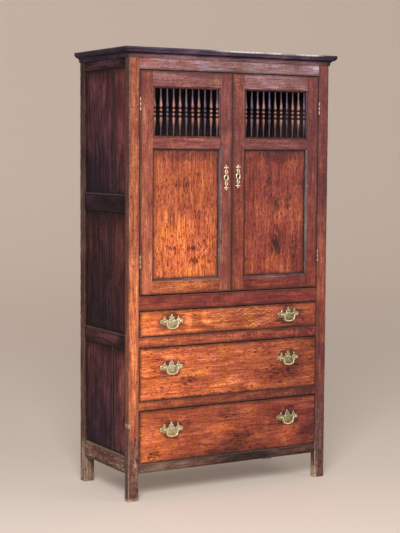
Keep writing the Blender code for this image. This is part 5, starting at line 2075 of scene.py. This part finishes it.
def left_door() -> Door:
    """Describe the left door, bright orange in panel, hinge stile and bottom rail.

    Returns:
        The door, to be built.
    """
    spots = {
        "bottom_rail": (
            Spot(-0.22, 0.905, 0.24, 0.06, 0.96, ripple=0.35),
            Spot(-0.27, 0.900, 0.07, 0.03, 1.15, 0.15, 0.5),
            Spot(-0.150, 0.908, 0.04, 0.03, 1.2, 0.15, 0.5), dust_and_highlight_strip(-0.22, 0.929, 0.20, 0.006),
        ),
        "hinge_stile": (bloom_and_sheen(-0.41, 1.35, 0.8, 0.14),),
        "meeting_stile": (
            # The first patch, very dark behind the escutcheon's middle, is painted shade of the keyhole
            Spot(-0.030, 1.3615, 0.010, 0.014, 0.15), bloom_and_sheen(-0.03, 1.70, 0.35, 0.08),
            bloom_and_sheen(-0.03, 1.35, 0.8, 0.12), dust_and_highlight_strip(-0.0585, 1.24, 0.008, 0.31),
        ),
        "top_rail": (
            bloom_and_sheen(-0.22, 1.78, 0.2, 0.36, 0.6), Spot(-0.25, 1.765, 0.05, 0.026, 1.12, 0.1, 0.25),
            Spot(-0.085, 1.775, 0.02, 0.02, 1.12, 0.1, 0.25),
        ),
        "middle_rail": (bloom_and_sheen(-0.22, 1.51, 0.2, 0.20, 0.6),),
        "panel": (
            Spot(-0.240, 1.060, 0.15, 0.20, 1.15, 0.2), pitted(-0.240, 1.334, 0.09, 0.030, 0.85, 0.7),
            pitted(-0.160, 1.202, 0.030, 0.026, 0.82, 1.0), pitted(-0.186, 1.063, 0.034, 0.018, 0.75, 1.2),
            # The second patch below darkens a band along the panel's top, under the middle rail: painted shadow
            pitted(-0.181, 1.005, 0.030, 0.022, 0.70, 1.2), Spot(-0.232, 1.460, 0.25, 0.035, 0.75, -0.2),
            pitted(-0.30, 1.06, 0.05, 0.10, 1.0, 0.5), pitted(-0.13, 1.06, 0.05, 0.12, 1.0, 0.5),
        ),
    }
    return Door(
        "left",
        warm={"hinge_stile": (0.72, 0.30), "meeting_stile": (0.38, 0.15), "top_rail": (0.15, 0.05),
              "middle_rail": (0.25, 0.15), "bottom_rail": (0.68, 0.52), "panel": (0.90, 0.50)},
        tone={"hinge_stile": (0.80, 0.57), "meeting_stile": (0.59, 0.59), "top_rail": (0.62, 0.62),
              "middle_rail": (0.76, 0.72), "bottom_rail": (0.80, 0.74), "panel": (0.94, 0.72)},
        rays={"bottom_rail": 0.25, "top_rail": 0.2},
        spots=spots,
    )


def right_door() -> Door:
    """Describe the right door, red brown with a knotty panel.

    Returns:
        The door, to be built.
    """
    spots = {
        "meeting_stile": (
            # The first patch, very dark behind the escutcheon's middle, is painted shade of the keyhole
            Spot(0.030, 1.3675, 0.010, 0.014, 0.15), bloom_and_sheen(0.03, 1.65, 0.40, 0.12),
            Spot(0.025, 1.765, 0.03, 0.04, 1.12, 0.15, 0.4),
        ),
        "top_rail": (bloom_and_sheen(0.22, 1.78, 0.2, 0.58, 0.6),),
        "middle_rail": (bloom_and_sheen(0.22, 1.51, 0.2, 0.20, 0.6),),
        "hinge_stile": (bloom_and_sheen(0.41, 1.60, 0.45, 0.10), dust_and_highlight_strip(0.389, 1.24, 0.006, 0.31)),
        "bottom_rail": (dust_and_highlight_strip(0.22, 0.929, 0.20, 0.007),),
        "panel": (
            stained(0.232, 1.073, 0.014, 0.020, 0.42, 1.2), pitted(0.230, 1.070, 0.045, 0.07, 0.82, 1.1),
            pitted(0.214, 1.088, 0.008, 0.024, 0.60, 1.2), pitted(0.247, 1.060, 0.008, 0.020, 0.60, 1.2),
            pitted(0.237, 1.251, 0.022, 0.05, 0.70, 1.2), Spot(0.193, 0.988, 0.12, 0.05, 1.15, 0.15),
            pitted(0.193, 1.339, 0.020, 0.022, 0.65, 1.2),
            # Darker band along the panel's top, under the middle rail: painted shadow
            Spot(0.235, 1.458, 0.16, 0.035, 0.75, -0.2, pits=0.5),
            pitted(0.330, 1.05, 0.022, 0.10, 0.85, 0.8), pitted(0.290, 1.245, 0.018, 0.04, 0.75, 1.2),
        ),
    }
    return Door(
        "right",
        warm={"hinge_stile": (0.12, 0.0), "meeting_stile": (0.20, 0.15), "top_rail": (0.10, 0.10),
              "middle_rail": (0.10, 0.05), "bottom_rail": (0.14, 0.10), "panel": (0.25, 0.20)},
        tone={"hinge_stile": (0.64, 0.56), "meeting_stile": (0.64, 0.59), "top_rail": (0.78, 0.78),
              "middle_rail": (0.67, 0.62), "bottom_rail": (0.64, 0.62), "panel": (0.84, 0.74)},
        rays={"meeting_stile": 0.2},
        spots=spots,
    )


def halos(height: float) -> tuple[Spot, ...]:
    """Return the darkening round the two handles of a drawer: dirt where polish never reaches, and painted
    shadow.
    """
    return tuple(Spot(x, height, 0.062, 0.040, 0.34, -0.1, core=0.72) for x in (-0.296, 0.296))


def drawers() -> list[Drawer]:
    """Describe the three drawers.

    Returns:
        The drawers from the top, to be built.
    """
    top_spots = (
        Spot(-0.400, 0.750, 0.10, 0.08, 1.22, 0.2, 0.2),
        Spot(-0.213, 0.756, 0.020, 0.040, 1.40, 0.4, 0.9, core=0.6),
        Spot(-0.138, 0.767, 0.014, 0.030, 1.35, 0.4, 0.9, core=0.6),
        Spot(-0.115, 0.739, 0.026, 0.014, 1.30, 0.3, 0.9, core=0.6),
        Spot(0.090, 0.745, 0.22, 0.07, 0.94, -0.05, ripple=0.9),
        stained(0.35, 0.705, 0.16, 0.02, 0.7, 0.5), stained(0.0, 0.700, 0.25, 0.014, 0.7, 0.5),
    )
    middle_spots = (
        stained(-0.212, 0.497, 0.06, 0.020, 0.80, 0.8),
        Spot(-0.075, 0.455, 0.07, 0.024, 1.15, 0.1, ripple=0.9),
        Spot(0.02, 0.478, 0.06, 0.025, 1.15, 0.1, ripple=0.9),
        Spot(0.112, 0.447, 0.05, 0.028, 1.15, 0.1, 0.4),
        Spot(0.280, 0.500, 0.14, 0.05, 0.85, -0.05, pits=0.9),
    )
    bottom_spots = (
        Spot(-0.380, 0.250, 0.16, 0.09, 1.22, 0.25), Spot(-0.068, 0.281, 0.09, 0.03, 1.25, 0.3),
        stained(0.015, 0.190, 0.16, 0.04, 0.60, 0.6), stained(0.050, 0.232, 0.07, 0.018, 0.62, 0.9),
        stained(0.411, 0.200, 0.06, 0.10, 0.75, 0.4), stained(-0.011, 0.342, 0.06, 0.045, 0.78, 0.5),
        Spot(0.309, 0.234, 0.07, 0.05, 1.2, 0.3, 0.2), stained(-0.380, 0.193, 0.04, 0.026, 0.75, 0.8),
        stained(-0.050, 0.165, 0.30, 0.02, 0.62, 0.4),
    )
    return [
        Drawer("top_drawer", (0.95, 0.38), (0.91, 0.80), 0.12, -0.25, top_spots + halos(0.753)),
        Drawer("middle_drawer", (0.94, 0.42), (1.07, 0.64), 0.10, -0.05, middle_spots + halos(0.558)),
        Drawer("bottom_drawer", (0.74, 0.12), (0.82, 0.73), 0.08, -0.3, bottom_spots + halos(0.292)),
    ]


def main() -> None:
    """Build every sub-assembly."""
    logging.basicConfig(level=logging.INFO, format="%(name)s: %(message)s")
    noise.seed_set(SWAY_SEED)
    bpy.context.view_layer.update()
    Case().build()
    Cornice().build()
    for door in (left_door(), right_door()):
        door.build()
        for end in ("upper", "lower"):
            Hinge(door.side, end).build()
    for drawer in drawers():
        drawer.build()
    Escutcheon("left", -0.030, 1.307, 1.416).build()
    Escutcheon("right", 0.030, 1.317, 1.418).build()
    Studio().build()


if __name__ == "__main__":
    main()
